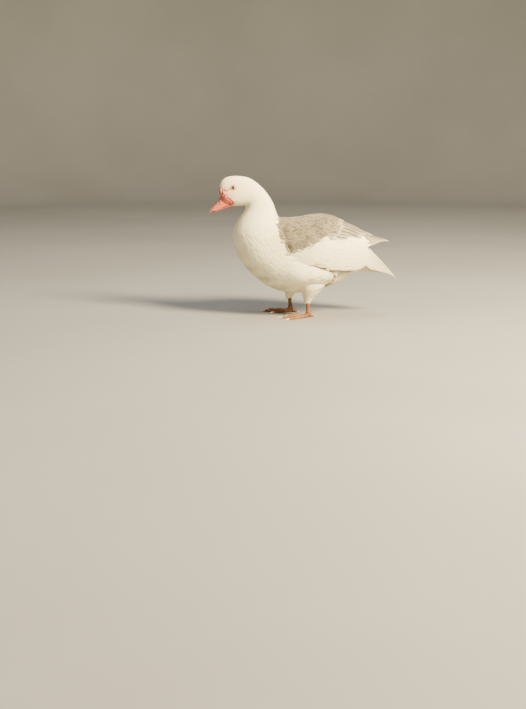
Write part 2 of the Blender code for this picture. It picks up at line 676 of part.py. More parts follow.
def thigh_mesh(leg, y, grow=0.0):
    knots = [-row[0] for row in THIGH_FORM]
    heights = np.linspace(THIGH_FORM[0][0], THIGH_FORM[-1][0], 8)
    shape = spline(knots, [row[1:] for row in THIGH_FORM], -heights)
    sections = [((leg_x(leg, z) + dx, y, z), a + grow, b + grow) for z, (dx, a, b) in zip(heights, shape)]
    return tube_mesh("thigh", ellipse_rows(sections, 14))


def shank_mesh(leg, y):
    top, foot = SHANK_TOP - GAP, SHANK_FOOT
    knots = [row[0] for row in SHANK_FORM]
    shares = np.linspace(0, 1, 6)
    sizes = spline(knots, [row[1:] for row in SHANK_FORM], shares)
    heights = top + (foot - top) * shares
    sections = [((leg_x(leg, z), y, z), a, b) for z, (a, b) in zip(heights, sizes)]
    return tube_mesh("shank", ellipse_rows(sections, 10))


def toe_heading(angle, side):
    """The way a toe points on the floor, for the left foot at side -1 and the right at 1."""
    turned = angle - TOE_OUT
    return Vector((-math.cos(turned), -side * math.sin(turned), 0))


def toe_rows(hub, heading, toe, rise=0.0):
    """Rows of points round a toe: it arches down from the foot's hub and swells at its joints."""
    _, length, root, end, _ = toe
    across = heading.cross(Vector((0, 0, 1)))
    rows = []
    for u in np.linspace(0, 1, 7):
        radius = root + (end - root) * u
        radius *= (1 + 0.10 * math.cos(u * 2.0 * 2 * math.pi)) * (1 - 0.10 * u**6)
        lift = (1 - min(1, u / 0.30)) ** 2 * 0.0035
        centre = hub + heading * (length * u)
        centre.z = radius - SOLE_CUT + lift + rise * (1 - u)
        row = []
        for t in (np.arange(7) + 0.5) / 7 * 2 * math.pi + math.pi / 2:
            row.append(centre + across * (math.cos(t) * radius * 1.05) + Vector((0, 0, 1)) * (math.sin(t) * radius))
        rows.append([tuple(p) for p in row])
    return np.array(rows)


def web_mesh(hub, first, second, reach_first, reach_second):
    """The web between two toes: a thin plate whose front edge is a shallow bay."""
    steps = 5
    rows = []
    for i in range(steps + 1):
        f = i / steps
        heading = (first * (1 - f) + second * f).normalized()
        reach = reach_first + (reach_second - reach_first) * f
        reach *= 1 - WEB_BAY * 4 * f * (1 - f)
        low, high = WEB_HEIGHT - WEB_THICK / 2, WEB_HEIGHT + WEB_THICK / 2
        near, far = 0.004, reach
        sag = 0.0006 * 4 * f * (1 - f)
        lift = 0.0022
        row = [hub + heading * near + Vector((0, 0, high + lift)), hub + heading * (far * 0.5) + Vector((0, 0, high - sag)),
               hub + heading * far + Vector((0, 0, high - sag)), hub + heading * far + Vector((0, 0, low - sag)),
               hub + heading * (far * 0.5) + Vector((0, 0, low - sag)), hub + heading * near + Vector((0, 0, low + lift))]
        rows.append([tuple(p) for p in row])
    return tube_mesh("web", np.array(rows))


def claw_mesh(root, heading, length, radius):
    """A curved claw from a toe's flat end, its point just clear of the floor."""
    across = heading.cross(Vector((0, 0, 1)))
    rows = []
    for u in np.linspace(0, 1, 4):
        width = radius * (1 - 0.93 * u**1.3)
        centre = root + heading * (length * u * (1 - 0.12 * u)) - Vector((0, 0, (root.z - 0.0014) * u**1.8))
        row = []
        for t in np.arange(6) / 6 * 2 * math.pi:
            row.append(centre + across * (math.cos(t) * width * 0.85) + Vector((0, 0, 1)) * (math.sin(t) * width))
        rows.append([tuple(p) for p in row])
    return tube_mesh("claw", np.array(rows))


def make_leg(name, leg, side, materials, collection):
    y = side * LEG_SIDE
    thigh = place(f"thigh_{name}", thigh_mesh(leg, y), collection, materials["white_plumage"])
    boolean(thigh, "DIFFERENCE", [whole_body("grown", GAP * 1.3)])
    place(f"shank_{name}", shank_mesh(leg, y), collection, materials["leg_skin"])
    hub = Vector((leg_x(leg, 0), y, 0))
    knuckle = ball((hub.x - 0.001, hub.y, 0.0085), (0.0085, 0.0075, 0.0085), columns=12, rows=8)
    foot = place(f"foot_{name}", knuckle, collection, materials["leg_skin"])
    pieces = []
    for toe_name, toe in TOES.items():
        heading = toe_heading(toe[0], side)
        pieces.append(tube_mesh(toe_name, toe_rows(hub, heading, toe)))
        end = hub + heading * (toe[1] + GAP)
        end.z = toe[3] - SOLE_CUT + 0.0002
        claw = claw_mesh(end, heading, toe[4], toe[3] * 0.80)
        place(f"claw_{name}_{toe_name}", claw, collection, materials["claw_horn"])
    toes = {n: (toe_heading(t[0], side), t[1]) for n, t in TOES.items()}
    for a, b in (("inner", "middle"), ("middle", "outer")):
        pieces.append(web_mesh(hub, toes[a][0], toes[b][0], toes[a][1] * 0.93, toes[b][1] * 0.93))
    boolean(foot, "UNION", pieces)
    keep_behind(foot.data, Vector((0, 0, 0)), Vector((0, 0, -1)))
    keep_behind(foot.data, Vector((0, 0, SHANK_FOOT - GAP)), Vector((0, 0, 1)))
    keep_largest(foot.data)


def smooth(collection):
    for obj in collection.objects:
        obj.data.shade_smooth()
        obj.data.set_sharp_from_angle(angle=math.radians(50))


def main():
    clear_scene()
    collection = new_collection("muscovy_duck")
    materials = make_materials()
    make_torso_and_neck(materials, collection)
    make_head(materials, collection)
    make_bill(materials, collection)
    make_eyes(materials, collection)
    make_tail(materials, collection)
    make_wings(materials, collection)
    make_leg("left", LEFT_LEG, -1, materials, collection)
    make_leg("right", RIGHT_LEG, 1, materials, collection)
    smooth(collection)


main()
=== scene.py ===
"""The looks of the standing muscovy duck: skin, plumage, bill, eyes, legs, studio and camera.

The duck faces -X, its left side is -Y, and all is in metres in the frame of the solids. The
sizes below repeat those of the solids, whose surfaces are where the coat's tips reach.
"""
import collections
import itertools
import math

import bpy
import numpy as np
from mathutils import Matrix, Vector


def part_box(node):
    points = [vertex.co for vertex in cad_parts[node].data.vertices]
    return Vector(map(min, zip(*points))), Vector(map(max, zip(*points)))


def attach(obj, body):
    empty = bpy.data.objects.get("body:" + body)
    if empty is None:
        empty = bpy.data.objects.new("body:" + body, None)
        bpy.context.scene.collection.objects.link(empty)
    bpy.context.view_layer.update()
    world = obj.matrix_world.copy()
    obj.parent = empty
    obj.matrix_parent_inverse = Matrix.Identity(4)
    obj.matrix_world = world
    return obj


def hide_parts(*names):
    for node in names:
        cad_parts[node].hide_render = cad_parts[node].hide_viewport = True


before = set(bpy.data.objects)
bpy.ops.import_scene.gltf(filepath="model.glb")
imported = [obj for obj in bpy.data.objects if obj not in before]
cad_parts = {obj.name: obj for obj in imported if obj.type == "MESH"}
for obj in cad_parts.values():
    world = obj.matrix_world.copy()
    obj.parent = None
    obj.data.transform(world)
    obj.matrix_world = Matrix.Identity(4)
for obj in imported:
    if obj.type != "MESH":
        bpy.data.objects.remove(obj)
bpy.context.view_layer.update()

MM_PER_M = 1000
UP = np.array([0, 0, 1.0])

# Sections of the body: dorsal point, ventral point (x, z), half width, height of the widest
# part, power of the curve, then the spacing and the depth of the coat there, in millimetres.
RIBS = (
    ((0.222, 0.121), (0.216, 0.112), 0.010, 0.55, 2.0, 7.0, 3.0),
    ((0.194, 0.157), (0.180, 0.113), 0.024, 0.55, 2.0, 7.5, 3.5),
    ((0.163, 0.206), (0.141, 0.112), 0.037, 0.53, 2.0, 8.0, 4.0),
    ((0.128, 0.227), (0.112, 0.096), 0.054, 0.50, 2.1, 8.5, 4.5),
    ((0.088, 0.244), (0.078, 0.079), 0.069, 0.48, 2.1, 8.8, 5.0),
    ((0.048, 0.257), (0.038, 0.068), 0.079, 0.46, 2.2, 8.8, 5.0),
    ((0.008, 0.264), (0.000, 0.062), 0.085, 0.46, 2.2, 8.8, 5.0),
    ((-0.028, 0.265), (-0.047, 0.062), 0.086, 0.47, 2.2, 8.4, 5.0),
    ((-0.052, 0.265), (-0.090, 0.076), 0.082, 0.48, 2.2, 8.0, 4.8),
    ((-0.063, 0.265), (-0.128, 0.102), 0.077, 0.49, 2.1, 7.4, 4.5),
    ((-0.068, 0.268), (-0.162, 0.138), 0.071, 0.50, 2.1, 6.6, 4.2),
    ((-0.071, 0.272), (-0.184, 0.180), 0.063, 0.50, 2.0, 5.8, 3.8),
    ((-0.074, 0.280), (-0.191, 0.217), 0.053, 0.50, 2.0, 5.0, 3.3),
    ((-0.078, 0.291), (-0.1845, 0.244), 0.043, 0.50, 2.0, 4.3, 2.8),
    ((-0.084, 0.305), (-0.171, 0.266), 0.035, 0.50, 2.0, 3.7, 2.4),
    ((-0.093, 0.320), (-0.159, 0.283), 0.029, 0.50, 2.0, 3.3, 2.0),
    ((-0.106, 0.337), (-0.156, 0.293), 0.0265, 0.50, 2.0, 2.9, 1.8),
    ((-0.124, 0.354), (-0.162, 0.295), 0.0255, 0.48, 2.0, 2.6, 1.6),
    ((-0.146, 0.368), (-0.172, 0.295), 0.0255, 0.45, 2.1, 2.4, 1.4),
    ((-0.170, 0.373), (-0.183, 0.295), 0.0250, 0.44, 2.2, 2.2, 1.2),
    ((-0.193, 0.373), (-0.193, 0.294), 0.0225, 0.44, 2.2, 2.0, 1.0),
    ((-0.212, 0.367), (-0.201, 0.293), 0.0185, 0.43, 2.1, 1.9, 0.9),
    ((-0.223, 0.353), (-0.207, 0.292), 0.0145, 0.42, 2.0, 1.8, 0.8),
    ((-0.226, 0.334), (-0.210, 0.293), 0.0110, 0.42, 2.0, 1.8, 0.7),
)
FLANK_X, FLANK_Z = 0.015, 0.113
FLANK_LONG, FLANK_TALL, FLANK_DEEP, FLANK_SAG = 0.066, 0.036, 0.011, 0.4
# The flank's feathers end in a round lobe over the wing's lower edge: middle x, z and half sizes.
LOBE_AT, LOBE_LONG, LOBE_TALL = (-0.008, 0.107), 0.077, 0.032
LOBE_RISE, CLEFT_DEPTH = 0.0026, 0.0018
# Where its edge fades, in shares of its outline, and how its feathers lie over the wing.
LOBE_EDGE, LOBE_ON_WING, OVER_WING, ROOT_SINK = (1.06, 0.74), (-0.06, 0.15), (0.0024, 0.0041), 0.0045

# The folded wing's outer form: x, top, widest height, bottom, half width.
WING_FORM = (
    (-0.080, 0.258, 0.190, 0.090, 0.074),
    (-0.040, 0.263, 0.186, 0.082, 0.087),
    (0.000, 0.266, 0.183, 0.080, 0.093),
    (0.040, 0.269, 0.183, 0.080, 0.093),
    (0.080, 0.262, 0.182, 0.084, 0.087),
    (0.120, 0.247, 0.181, 0.092, 0.074),
    (0.160, 0.227, 0.180, 0.104, 0.056),
    (0.200, 0.211, 0.184, 0.135, 0.036),
    (0.230, 0.202, 0.188, 0.165, 0.020),
)
WING_POWER = 2.15
# What the wings cover of the body: from x to x, from this far above their lower edge, and this far
# inside their outer face, but for a strip along the back.
WING_COVERS, WING_HEM, WING_CLEAR = (-0.040, 0.098), 0.024, 0.002
BACK_HALF, BACK_LOW = 0.022, 0.20
# The wings' bodies under their feathers: from x to x, rows of points, and depth below the feathers.
PAD_X, PAD_ROWS, PAD_DEPTH = (-0.066, 0.128), 40, 0.0050

# Tiers of wing feathers: root and tip (x, degrees down from the back) of the first and the last,
# how many, half width, lift at root and tip, and how grey they are.
WING_TIERS = {
    "primary": dict(count=7, root=((0.090, 34), (0.080, 60)), tip=((0.228, 28), (0.188, 67)),
                    half=0.0092, lift=(-0.0070, -0.0005), grey=0.95),
    "secondary": dict(count=10, root=((0.054, 46), (0.028, 106)), tip=((0.172, 58), (0.160, 120)),
                      half=0.0135, lift=(-0.0070, 0.0006), grey=0.0),
    "tertial": dict(count=5, root=((0.048, 5), (0.042, 40)), tip=((0.186, 12), (0.148, 52)),
                    half=0.0140, lift=(-0.0060, 0.0014), grey=1.0),
    "greater_covert": dict(count=10, root=((0.034, 50), (0.010, 102)), tip=((0.112, 55), (0.098, 116)),
                           half=0.0130, lift=(-0.0060, 0.0012), grey=None),
    "median_covert": dict(count=9, root=((0.008, 48), (-0.012, 98)), tip=((0.078, 53), (0.062, 110)),
                          half=0.0125, lift=(-0.0060, 0.0027), grey=None),
    "long_scapular": dict(count=7, root=((0.010, 4), (-0.004, 52)), tip=((0.106, 6), (0.090, 55)),
                          half=0.0135, lift=(-0.0050, 0.0032), grey=None),
}
LEAN = math.radians(3.5)
# Rows of points along a long feather, how far tips stray in x and degrees, and how far they settle.
LONG_ROWS, TIP_JITTER, TIP_SETTLES = 15, (0.0022, 0.5), 0.0012
# Small feathers over the wing: where, how far apart, their length in spacings, and how they climb:
# the root's height in front and behind, and the tip's above it.
COVERT_COATS = {
    "lesser_covert": dict(x=(-0.064, 0.030), degrees=(38, 106), spacing_mm=7.4, longer=3.6,
                          climb=(-0.0045, 0.0022, 0.0036), seed=61),
    "mantle": dict(x=(-0.074, 0.056), degrees=(2, 52), spacing_mm=8.0, longer=3.8,
                   climb=(-0.0045, 0.0014, 0.0048), seed=62),
}
# The body's small feathers, from the tail to the face: shares of its length, how tight they stand,
# roots tried, length and width over the usual, and rows of points along each.
COAT = {
    "plumage_rear": dict(stretch=(0.012, 0.36), tight=0.78, tries=90000, longer=1.25, wider=1.10, rows=8,
                         look=dict(columns=7, fray=0.40, soft=0.22)),
    "plumage_breast": dict(stretch=(0.36, 0.56), tight=0.78, tries=110000, longer=1.25, wider=1.10, rows=8,
                           look=dict(columns=7, fray=0.42, soft=0.30)),
    "plumage_neck": dict(stretch=(0.56, 0.74), tight=0.86, tries=140000, longer=1.25, wider=1.16, rows=7,
                         look=dict(columns=7, fray=0.55, soft=0.46)),
    "plumage_head": dict(stretch=(0.74, 0.994), tight=0.92, tries=190000, longer=1.3, wider=1.2, rows=6,
                         look=dict(columns=5, fray=0.7, soft=0.62)),
}
THIGH_SPACING, THIGH_COAT = 0.0046, 0.0030
# A feather's points across, ragged edge, camber, raised shaft, waves, thickness, frayed tip, and how
# far its shading follows the surface below.
BODY_LOOK = dict(ragged=0.06, camber=0.14, shaft=0.0, wave=0.00015, thick=0)
THIGH_LOOK = dict(columns=7, ragged=0.06, camber=0.15, shaft=0.0, wave=0.00015, thick=0, fray=0.8, soft=0.6)
COVERT_LOOK = dict(columns=9, ragged=0.05, camber=0.10, shaft=0.0001, wave=0.0002, thick=0, fray=0.16,
                   soft=0.3)
WING_LOOK = dict(columns=11, ragged=0.03, camber=0.075, shaft=0.00018, wave=0.0002, thick=0.00035,
                 fray=0.10, soft=0.35)
TAIL_LOOK = dict(columns=11, ragged=0.02, camber=0.165, shaft=0.00025, wave=0.0002, thick=0.0004, fray=0.05)
SHAFT_SHARE, BAKE_PATCH = 0.14, 0.003

# The tail: a drooping fan, arched from side to side.
TAIL_SLOPE = math.radians(46)
TAIL_STEP, TAIL_LEAN, TAIL_CURL = 0.00048, math.radians(5), 0.006
TAIL_TIERS = {
    "rectrix": dict(start=(0.1585, 0.2045), length=0.1410, shorter=(0.30, 0.12), side_count=8,
                    arc=math.radians(70), round_=(0.041, 0.041), half=0.0135, sink=0.007),
    "long_covert": dict(start=(0.1480, 0.2175), length=0.0700, shorter=(0.08, 0.10), side_count=5,
                        arc=math.radians(62), round_=(0.043, 0.044), half=0.0115, sink=0.008),
    "short_covert": dict(start=(0.1330, 0.2265), length=0.0600, shorter=(0.08, 0.10), side_count=5,
                         arc=math.radians(60), round_=(0.047, 0.046), half=0.0115, sink=0.008),
}

EYE_AT, EYE_RADIUS = (-0.1895, 0.3445), 0.0068
# Lids round the eye, with a second fold outside them, and the socket inside.
LID_AT, LID_WIDE, LID_HIGH, LID_REACH, LID_FLAT = 0.0056, 0.0010, 0.0014, 0.0035, 0.86
LID_RED, LID_RED_WIDE = 0.75, 0.0016
FOLD_OUT, FOLD_WIDE, FOLD_HIGH = 0.0026, 0.0008, 0.0004
SOCKET_DEEP, SOCKET_EDGE = 0.0018, (0.0052, 0.0040)

# The bare face: the line from the bill's top root to the gape, and how far the bare and the red skin
# reach behind it; the strip of the lores to the eye, the ring round the eye, and the forehead.
FACE_TOP, FACE_GAPE, FACE_LOW, FACE_REAR = (-0.2245, 0.3290), (-0.1935, 0.3030), 0.2965, -0.150
FACE_WANDER, BAND_EDGE, BAND_END, RED_EDGE = 0.0006, (0.0125, 0.0085), (1.22, 1.05), (0.0115, 0.0050)
LORES_AT, LORES_BACK, LORES_FRONT = (-0.2230, 0.3350), (-0.186, -0.190), -0.2300
LORES_THICK, LORES_THINNER, LORES_SOFT = 0.0062, 0.0026, 0.0012
EYE_RING, FOREHEAD_EDGE, FOREHEAD_TOP = (0.0096, 0.0076), (-0.2235, -0.2255), 0.3480
# Rows of warty bulbs: both ends as x, z, how many, and the first and the last one's radius.
BULB_ROWS = (
    ((-0.2258, 0.3290), (-0.1950, 0.3050), 9, 0.0036, 0.0026),
    ((-0.2245, 0.3350), (-0.1920, 0.3105), 9, 0.0032, 0.0023),
    ((-0.2200, 0.3395), (-0.1995, 0.3370), 5, 0.0024, 0.0016),
    ((-0.1888, 0.3050), (-0.1865, 0.3140), 3, 0.0021, 0.0016),
)
BULB_JITTER, BULB_HIGH = 0.0016, 0.62
SMALL_BULB_TRIES, SMALL_BULB_X, SMALL_BULB_Z = 300, (-0.228, -0.180), (0.298, 0.356)
SMALL_BULB, SMALL_BULB_GROWS, SMALL_BULB_FROM_EYE = (0.0007, 0.0011), 0.0010, 0.0080
KNOB = ((-0.2262, 0.3290, 0.0040), (-0.2250, 0.3355, 0.0036), (-0.2225, 0.3415, 0.0030))
KNOB_ASIDE = 0.0012
RELIEF_REAR, RELIEF_TOP, RELIEF_UNIT = -0.170, 0.362, 0.003

# Sections of the bill's halves: their highest and lowest point (x, z) and half width.
UPPER_BILL = (
    ((-0.206, 0.326), (-0.186, 0.3036), 0.0095),
    ((-0.222, 0.3190), (-0.200, 0.2987), 0.0120),
    ((-0.2285, 0.3095), (-0.2110, 0.2945), 0.0122),
    ((-0.2370, 0.2990), (-0.2240, 0.2890), 0.0120),
    ((-0.2455, 0.2910), (-0.2370, 0.2838), 0.0118),
    ((-0.2508, 0.2835), (-0.2460, 0.2803), 0.0085),
    ((-0.2529, 0.2775), (-0.2516, 0.2760), 0.0026),
)
LOWER_BILL = (
    ((-0.184, 0.3037), (-0.184, 0.2960), 0.0080),
    ((-0.199, 0.2984), (-0.199, 0.2915), 0.0106),
    ((-0.2105, 0.2940), (-0.212, 0.2878), 0.0108),
    ((-0.2235, 0.2886), (-0.225, 0.2828), 0.0108),
    ((-0.2365, 0.2834), (-0.2368, 0.2788), 0.0104),
    ((-0.2450, 0.2801), (-0.2454, 0.2768), 0.0060),
)
BILL_POWER, UPPER_WIDEST, LOWER_WIDEST = 2.3, 0.05, 0.93
NOSTRIL = (-0.2275, 0.0066, 0.3055)
BILL_FROM, BILL_LONG = -0.200, 0.053

# Legs: side, the foot's x and the shank's lean in x. Thigh: height, then its middle in x and its half
# sizes in x and y. Shank: share down it, then its half sizes.
LEG_SIDE = 0.046
LEGS = {"left": (-1, 0.008, -0.002), "right": (1, -0.028, -0.004)}
THIGH_FORM = (
    (0.112, 0.012, 0.040, 0.026),
    (0.088, 0.011, 0.036, 0.026),
    (0.070, 0.008, 0.026, 0.021),
    (0.056, 0.003, 0.016, 0.0145),
    (0.0445, 0.000, 0.0105, 0.0100),
)
SHANK_TOP, SHANK_FOOT, SHANK_SCUTE = 0.0445, 0.0150, 0.0026
SHANK_FORM = (
    (0.0, 0.0066, 0.0055),
    (0.4, 0.0051, 0.0043),
    (0.75, 0.0053, 0.0045),
    (1.0, 0.0066, 0.0062),
)
# Toes: which way they point, length, radius at root and end, and their claw's length.
TOES = {
    "inner": (math.radians(30), 0.056, 0.0054, 0.0034, 0.0120),
    "middle": (math.radians(2), 0.072, 0.0058, 0.0037, 0.0135),
    "outer": (math.radians(-24), 0.068, 0.0054, 0.0034, 0.0120),
    "hind": (math.radians(155), 0.0200, 0.0042, 0.0028, 0.0080),
}
TOE_OUT = math.radians(8)
# How far a toe is lifted at its root and sunk into the floor, and its scutes and pads: length, height.
TOE_ROWS_PER_M, TOE_LIFT, TOE_SINK = 3400, 0.0035, 0.0010
TOE_SCUTE, SCUTE_HIGH, TOE_PAD_LONG, TOE_PAD_HIGH = 0.0023, 0.00028, 0.0016, 0.0003
# Webs: height over the floor, the bay of their front edge, where they start, and how much of the
# toes they reach along.
WEB_HEIGHT, WEB_BAY, WEB_FROM, WEB_REACH = 0.0024, 0.20, 0.004, 0.93
WEB_SAG, WEB_HALF_THICK, CLAW_INSIDE = 0.0006, 0.0007, 0.0012

# The grey saddle in the side view: its outline as x, z, and how soft its edge is.
SADDLE = ((-0.076, 0.290), (-0.074, 0.262), (-0.069, 0.212), (-0.050, 0.171), (-0.020, 0.184),
          (0.006, 0.194), (0.032, 0.212), (0.060, 0.222), (0.112, 0.214), (0.125, 0.290))
SADDLE_SOFT, SADDLE_WANDER = 0.005, 0.0035
# Places in the side view darkened brown: painted shade in the cleft behind the flank's lobe and in the line
# under it, and painted shade with some dirt on the thigh, along the lower breast and on the rump and tail.
# x, z, how long, how tall, how dark.
SHADE_AND_SOIL = (
    (0.080, 0.111, 0.012, 0.006, 1.00),
    (0.112, 0.124, 0.022, 0.0050, 1.00),
    (0.215, 0.128, 0.060, 0.055, 0.42),
    (0.010, 0.060, 0.036, 0.022, 0.32),
    (0.078, 0.088, 0.026, 0.010, 0.25),
    (-0.176, 0.158, 0.010, 0.018, 0.26),
    (-0.150, 0.128, 0.018, 0.012, 0.42),
    (-0.114, 0.104, 0.024, 0.011, 0.52),
    (-0.070, 0.080, 0.036, 0.011, 0.44),
    (0.030, 0.069, 0.030, 0.007, 0.20),
)
# The marks are fainter on the right side. The cleft behind the flank's lobe is darkened as painted shade:
# how dark, its width inside and outside the lobe's edge, and where it fades in x and in z.
FAINTER_ON_RIGHT = 0.40
CLEFT_SHADE, CLEFT_WIDE, CLEFT_FRONT, CLEFT_TOP = 1.1, (0.045, 0.085), (0.012, 0.042), (0.142, 0.132)

# The skin's rows, as stretches of the body's length from, to and how many, and its columns.
SKIN_STRETCHES, SKIN_COLUMNS = ((0, 0.66, 91), (0.66, 0.84, 45), (0.84, 1, 210)), 280
SKIN_DEPTH = 0.0001

# The photo's size and focal length in pixels, and where the duck's middle is on it.
PHOTO_WIDE, PHOTO_HIGH, FOCAL_PIXELS = 526, 709, 1111
DUCK_AT_PIXEL, DUCK_MIDDLE = (303.6, 245.7), (0.0, 0.0, 0.187)
CAMERA_AZIMUTH, CAMERA_ELEVATION, CAMERA_DISTANCE = math.radians(-8), math.radians(6.5), 3.0
SENSOR_HIGH = 24.0
FLOOR_FLAT, FLOOR_BEND, WALL_TOP = 4.0, 1.3, 3.6
# Lights: name, place, size, watts and colour.
LIGHTS = (
    ("key", (1.7, -1.7, 1.9), 0.9, 620.0, (1.0, 0.83, 0.54)),
    ("fill", (-2.2, -2.2, 1.2), 1.8, 18.0, (0.92, 0.95, 1.0)),
    ("top", (0.0, 0.5, 2.6), 1.6, 40.0, (1.0, 0.97, 0.92)),
)
LIGHTS_AIM, AIR, AIR_STRENGTH = (0, 0, 0.18), (0.96, 0.95, 0.94), 0.52

# The third colour is the dark brown of the painted shade and dirt marks.
WHITE, CREAM, SHADE_AND_SOIL_BROWN = (0.96, 0.87, 0.59), (0.90, 0.75, 0.41), (0.045, 0.026, 0.012)
GREY, DARK_GREY, PALE_EDGE = (0.132, 0.106, 0.060), (0.070, 0.055, 0.031), (0.54, 0.46, 0.32)
RED, PINK, PEACH = (0.50, 0.075, 0.052), (0.64, 0.19, 0.13), (0.76, 0.47, 0.33)
# The last two are painted shade for the hollows between the face's bulbs and a painted highlight for their
# tops.
HOLLOW_SHADE_RED, BULB_HIGHLIGHT_RED = (0.25, 0.022, 0.018), (0.74, 0.30, 0.22)
FACE_ROUGHNESS, DOWN_ROUGHNESS = 0.48, 0.9
BILL_HORN, BILL_NAIL = ((0.52, 0.155, 0.092), (0.40, 0.080, 0.048)), (0.72, 0.45, 0.31)
# Painted shade inside the nostrils.
NOSTRIL_SHADE = (0.10, 0.02, 0.015)
IRIS, PUPIL = ((0.075, 0.030, 0.012), (0.20, 0.095, 0.040)), (0.003, 0.003, 0.003)
EYE_RIM = (0.02, 0.012, 0.010)
LEG_SKIN, LEG_PALE = ((0.270, 0.112, 0.028), (0.165, 0.060, 0.016)), (0.38, 0.195, 0.065)
LEG_CRACK = (0.085, 0.032, 0.011)
CLAW_HORN, CLAW_LINES = ((0.48, 0.33, 0.23), (0.74, 0.64, 0.52)), (0.34, 0.22, 0.15)
PAPER = ((0.23, 0.226, 0.212), (0.25, 0.246, 0.232))

# Feathers as arrays of feather x row: where each shaft runs, which way its vane spreads and which
# way is out, the rows' shares of its length, its half width, and the normals of the surface below.
Vanes = collections.namedtuple("Vanes", "path side normal u half ground")

draw = np.random.default_rng(11)


def spline(knots, values, at):
    """A natural cubic through the values at the knots, read at each place in at."""
    k, v, at = np.asarray(knots, float), np.asarray(values, float), np.asarray(at, float)
    h = np.diff(k)
    system, right = np.eye(len(k)), np.zeros_like(v)
    for i in range(1, len(k) - 1):
        system[i, i - 1 : i + 2] = h[i - 1], 2 * (h[i - 1] + h[i]), h[i]
        right[i] = 3 * ((v[i + 1] - v[i]) / h[i] - (v[i] - v[i - 1]) / h[i - 1])
    c = np.linalg.solve(system, right)
    i = np.clip(np.searchsorted(k, at, side="right") - 1, 0, len(h) - 1)
    d = at - k[i]
    shape = (-1,) + (1,) * (v.ndim - 1)
    hi, d = h[i].reshape(shape), d.reshape(shape)
    slope = (v[i + 1] - v[i]) / hi - hi * (2 * c[i] + c[i + 1]) / 3
    return v[i] + d * (slope + d * (c[i] + d * (c[i + 1] - c[i]) / (3 * hi)))


def signed_power(value, power):
    return np.sign(value) * np.abs(value) ** power


RIB_TABLE = np.array([[*r[0], *r[1], *r[2:]] for r in RIBS])
RIB_MIDDLES = (RIB_TABLE[:, 0:2] + RIB_TABLE[:, 2:4]) / 2
RIB_PLACES = np.concatenate([[0], np.cumsum(np.linalg.norm(np.diff(RIB_MIDDLES, axis=0), axis=1))])
RIB_PLACES = RIB_PLACES / RIB_PLACES[-1]
WING_TABLE = np.array(WING_FORM)


def smoothstep(low, high, value):
    t = np.clip((value - low) / (high - low), 0, 1)
    return t * t * (3 - 2 * t)


def rib_values(s):
    """The sections' values at each share s of the body's length, one for each in the last axis."""
    s = np.asarray(s, float)
    return np.moveaxis(spline(RIB_PLACES, RIB_TABLE, s.ravel()).reshape(s.shape + (-1,)), -1, 0)


def full_turn(count):
    """Angles all the way round."""
    return np.arange(count) / count * 2 * math.pi


def crowded(count, power):
    """Shares from 0 to 1 that stand closer together towards 1."""
    return 1 - (1 - np.linspace(0, 1, count)) ** power


def bell(offset, width, power=2):
    return np.exp(-((offset / width) ** power))


def rounded_end(u, start, power=2.0, least=0.0):
    """1 up to the share start, then falling in a round curve to the end."""
    return np.sqrt(np.clip(1 - np.clip((u - start) / (1 - start), 0, 1) ** power, least, 1))


def coat_spacing(s):
    return rib_values(s)[7] / MM_PER_M


def coat_depth(s):
    return rib_values(s)[8] / MM_PER_M


def body_at(s, t):
    """Points of the body's outer form at shares s of its length and angles t down from the back."""
    s, t = np.broadcast_arrays(s, t)
    dx, dz, vx, vz, half, widest, power = rib_values(s)[:7]
    length = np.hypot(dx - vx, dz - vz)
    ex, ez = (dx - vx) / length, (dz - vz) / length
    rise = signed_power(np.cos(t), 2 / power)
    rise = rise * length * np.where(rise > 0, 1 - widest, widest)
    across = signed_power(np.sin(t), 2 / power)
    x, y, z = vx + ex * (widest * length + rise), -half * across, vz + ez * (widest * length + rise)
    swell = FLANK_DEEP * np.exp(-(((x - FLANK_X) / FLANK_LONG) ** 4) - ((z - FLANK_Z) / FLANK_TALL) ** 2)
    swell = swell * np.abs(across) ** 1.5
    return np.stack([x, y - swell * np.sign(across), z - FLANK_SAG * swell], axis=-1)


def wing_at(x, t):
    """Points of the left wing's outer form at x and angle t down from the back."""
    x, t = np.broadcast_arrays(x, t)
    form = spline(WING_TABLE[:, 0], WING_TABLE[:, 1:], x.ravel()).reshape(x.shape + (4,))
    top, widest, bottom, half = np.moveaxis(form, -1, 0)
    rise = signed_power(np.cos(t), 2 / WING_POWER)
    height = widest + rise * np.where(rise > 0, top - widest, widest - bottom)
    return np.stack([x, -half * signed_power(np.sin(t), 2 / WING_POWER), height], axis=-1)


def thigh_at(leg):
    """The surface of a thigh: share h down it and angle t round it."""
    side, foot_x, lean = LEGS[leg]
    form = np.array(THIGH_FORM)

    def surface(h, t):
        h, t = np.broadcast_arrays(h, t)
        z = form[0, 0] + (form[-1, 0] - form[0, 0]) * h
        shape = spline(-form[:, 0], form[:, 1:], -z.ravel()).reshape(z.shape + (3,))
        x = foot_x + lean + shape[..., 0] + shape[..., 1] * np.cos(t)
        return np.stack([x, side * LEG_SIDE + shape[..., 2] * np.sin(t), z], axis=-1)

    return surface


def unit(v):
    return v / np.maximum(np.linalg.norm(v, axis=-1, keepdims=True), 1e-12)


def frame_on(surface, a, b, da=1e-3, db=1e-2, turn=1.0):
    """Point, outward normal and the two slopes of a surface at its coordinates a, b."""
    slope_a = (surface(a + da, b) - surface(a - da, b)) / (2 * da)
    slope_b = (surface(a, b + db) - surface(a, b - db)) / (2 * db)
    return surface(a, b), unit(np.cross(slope_a, slope_b)) * turn, slope_a, slope_b


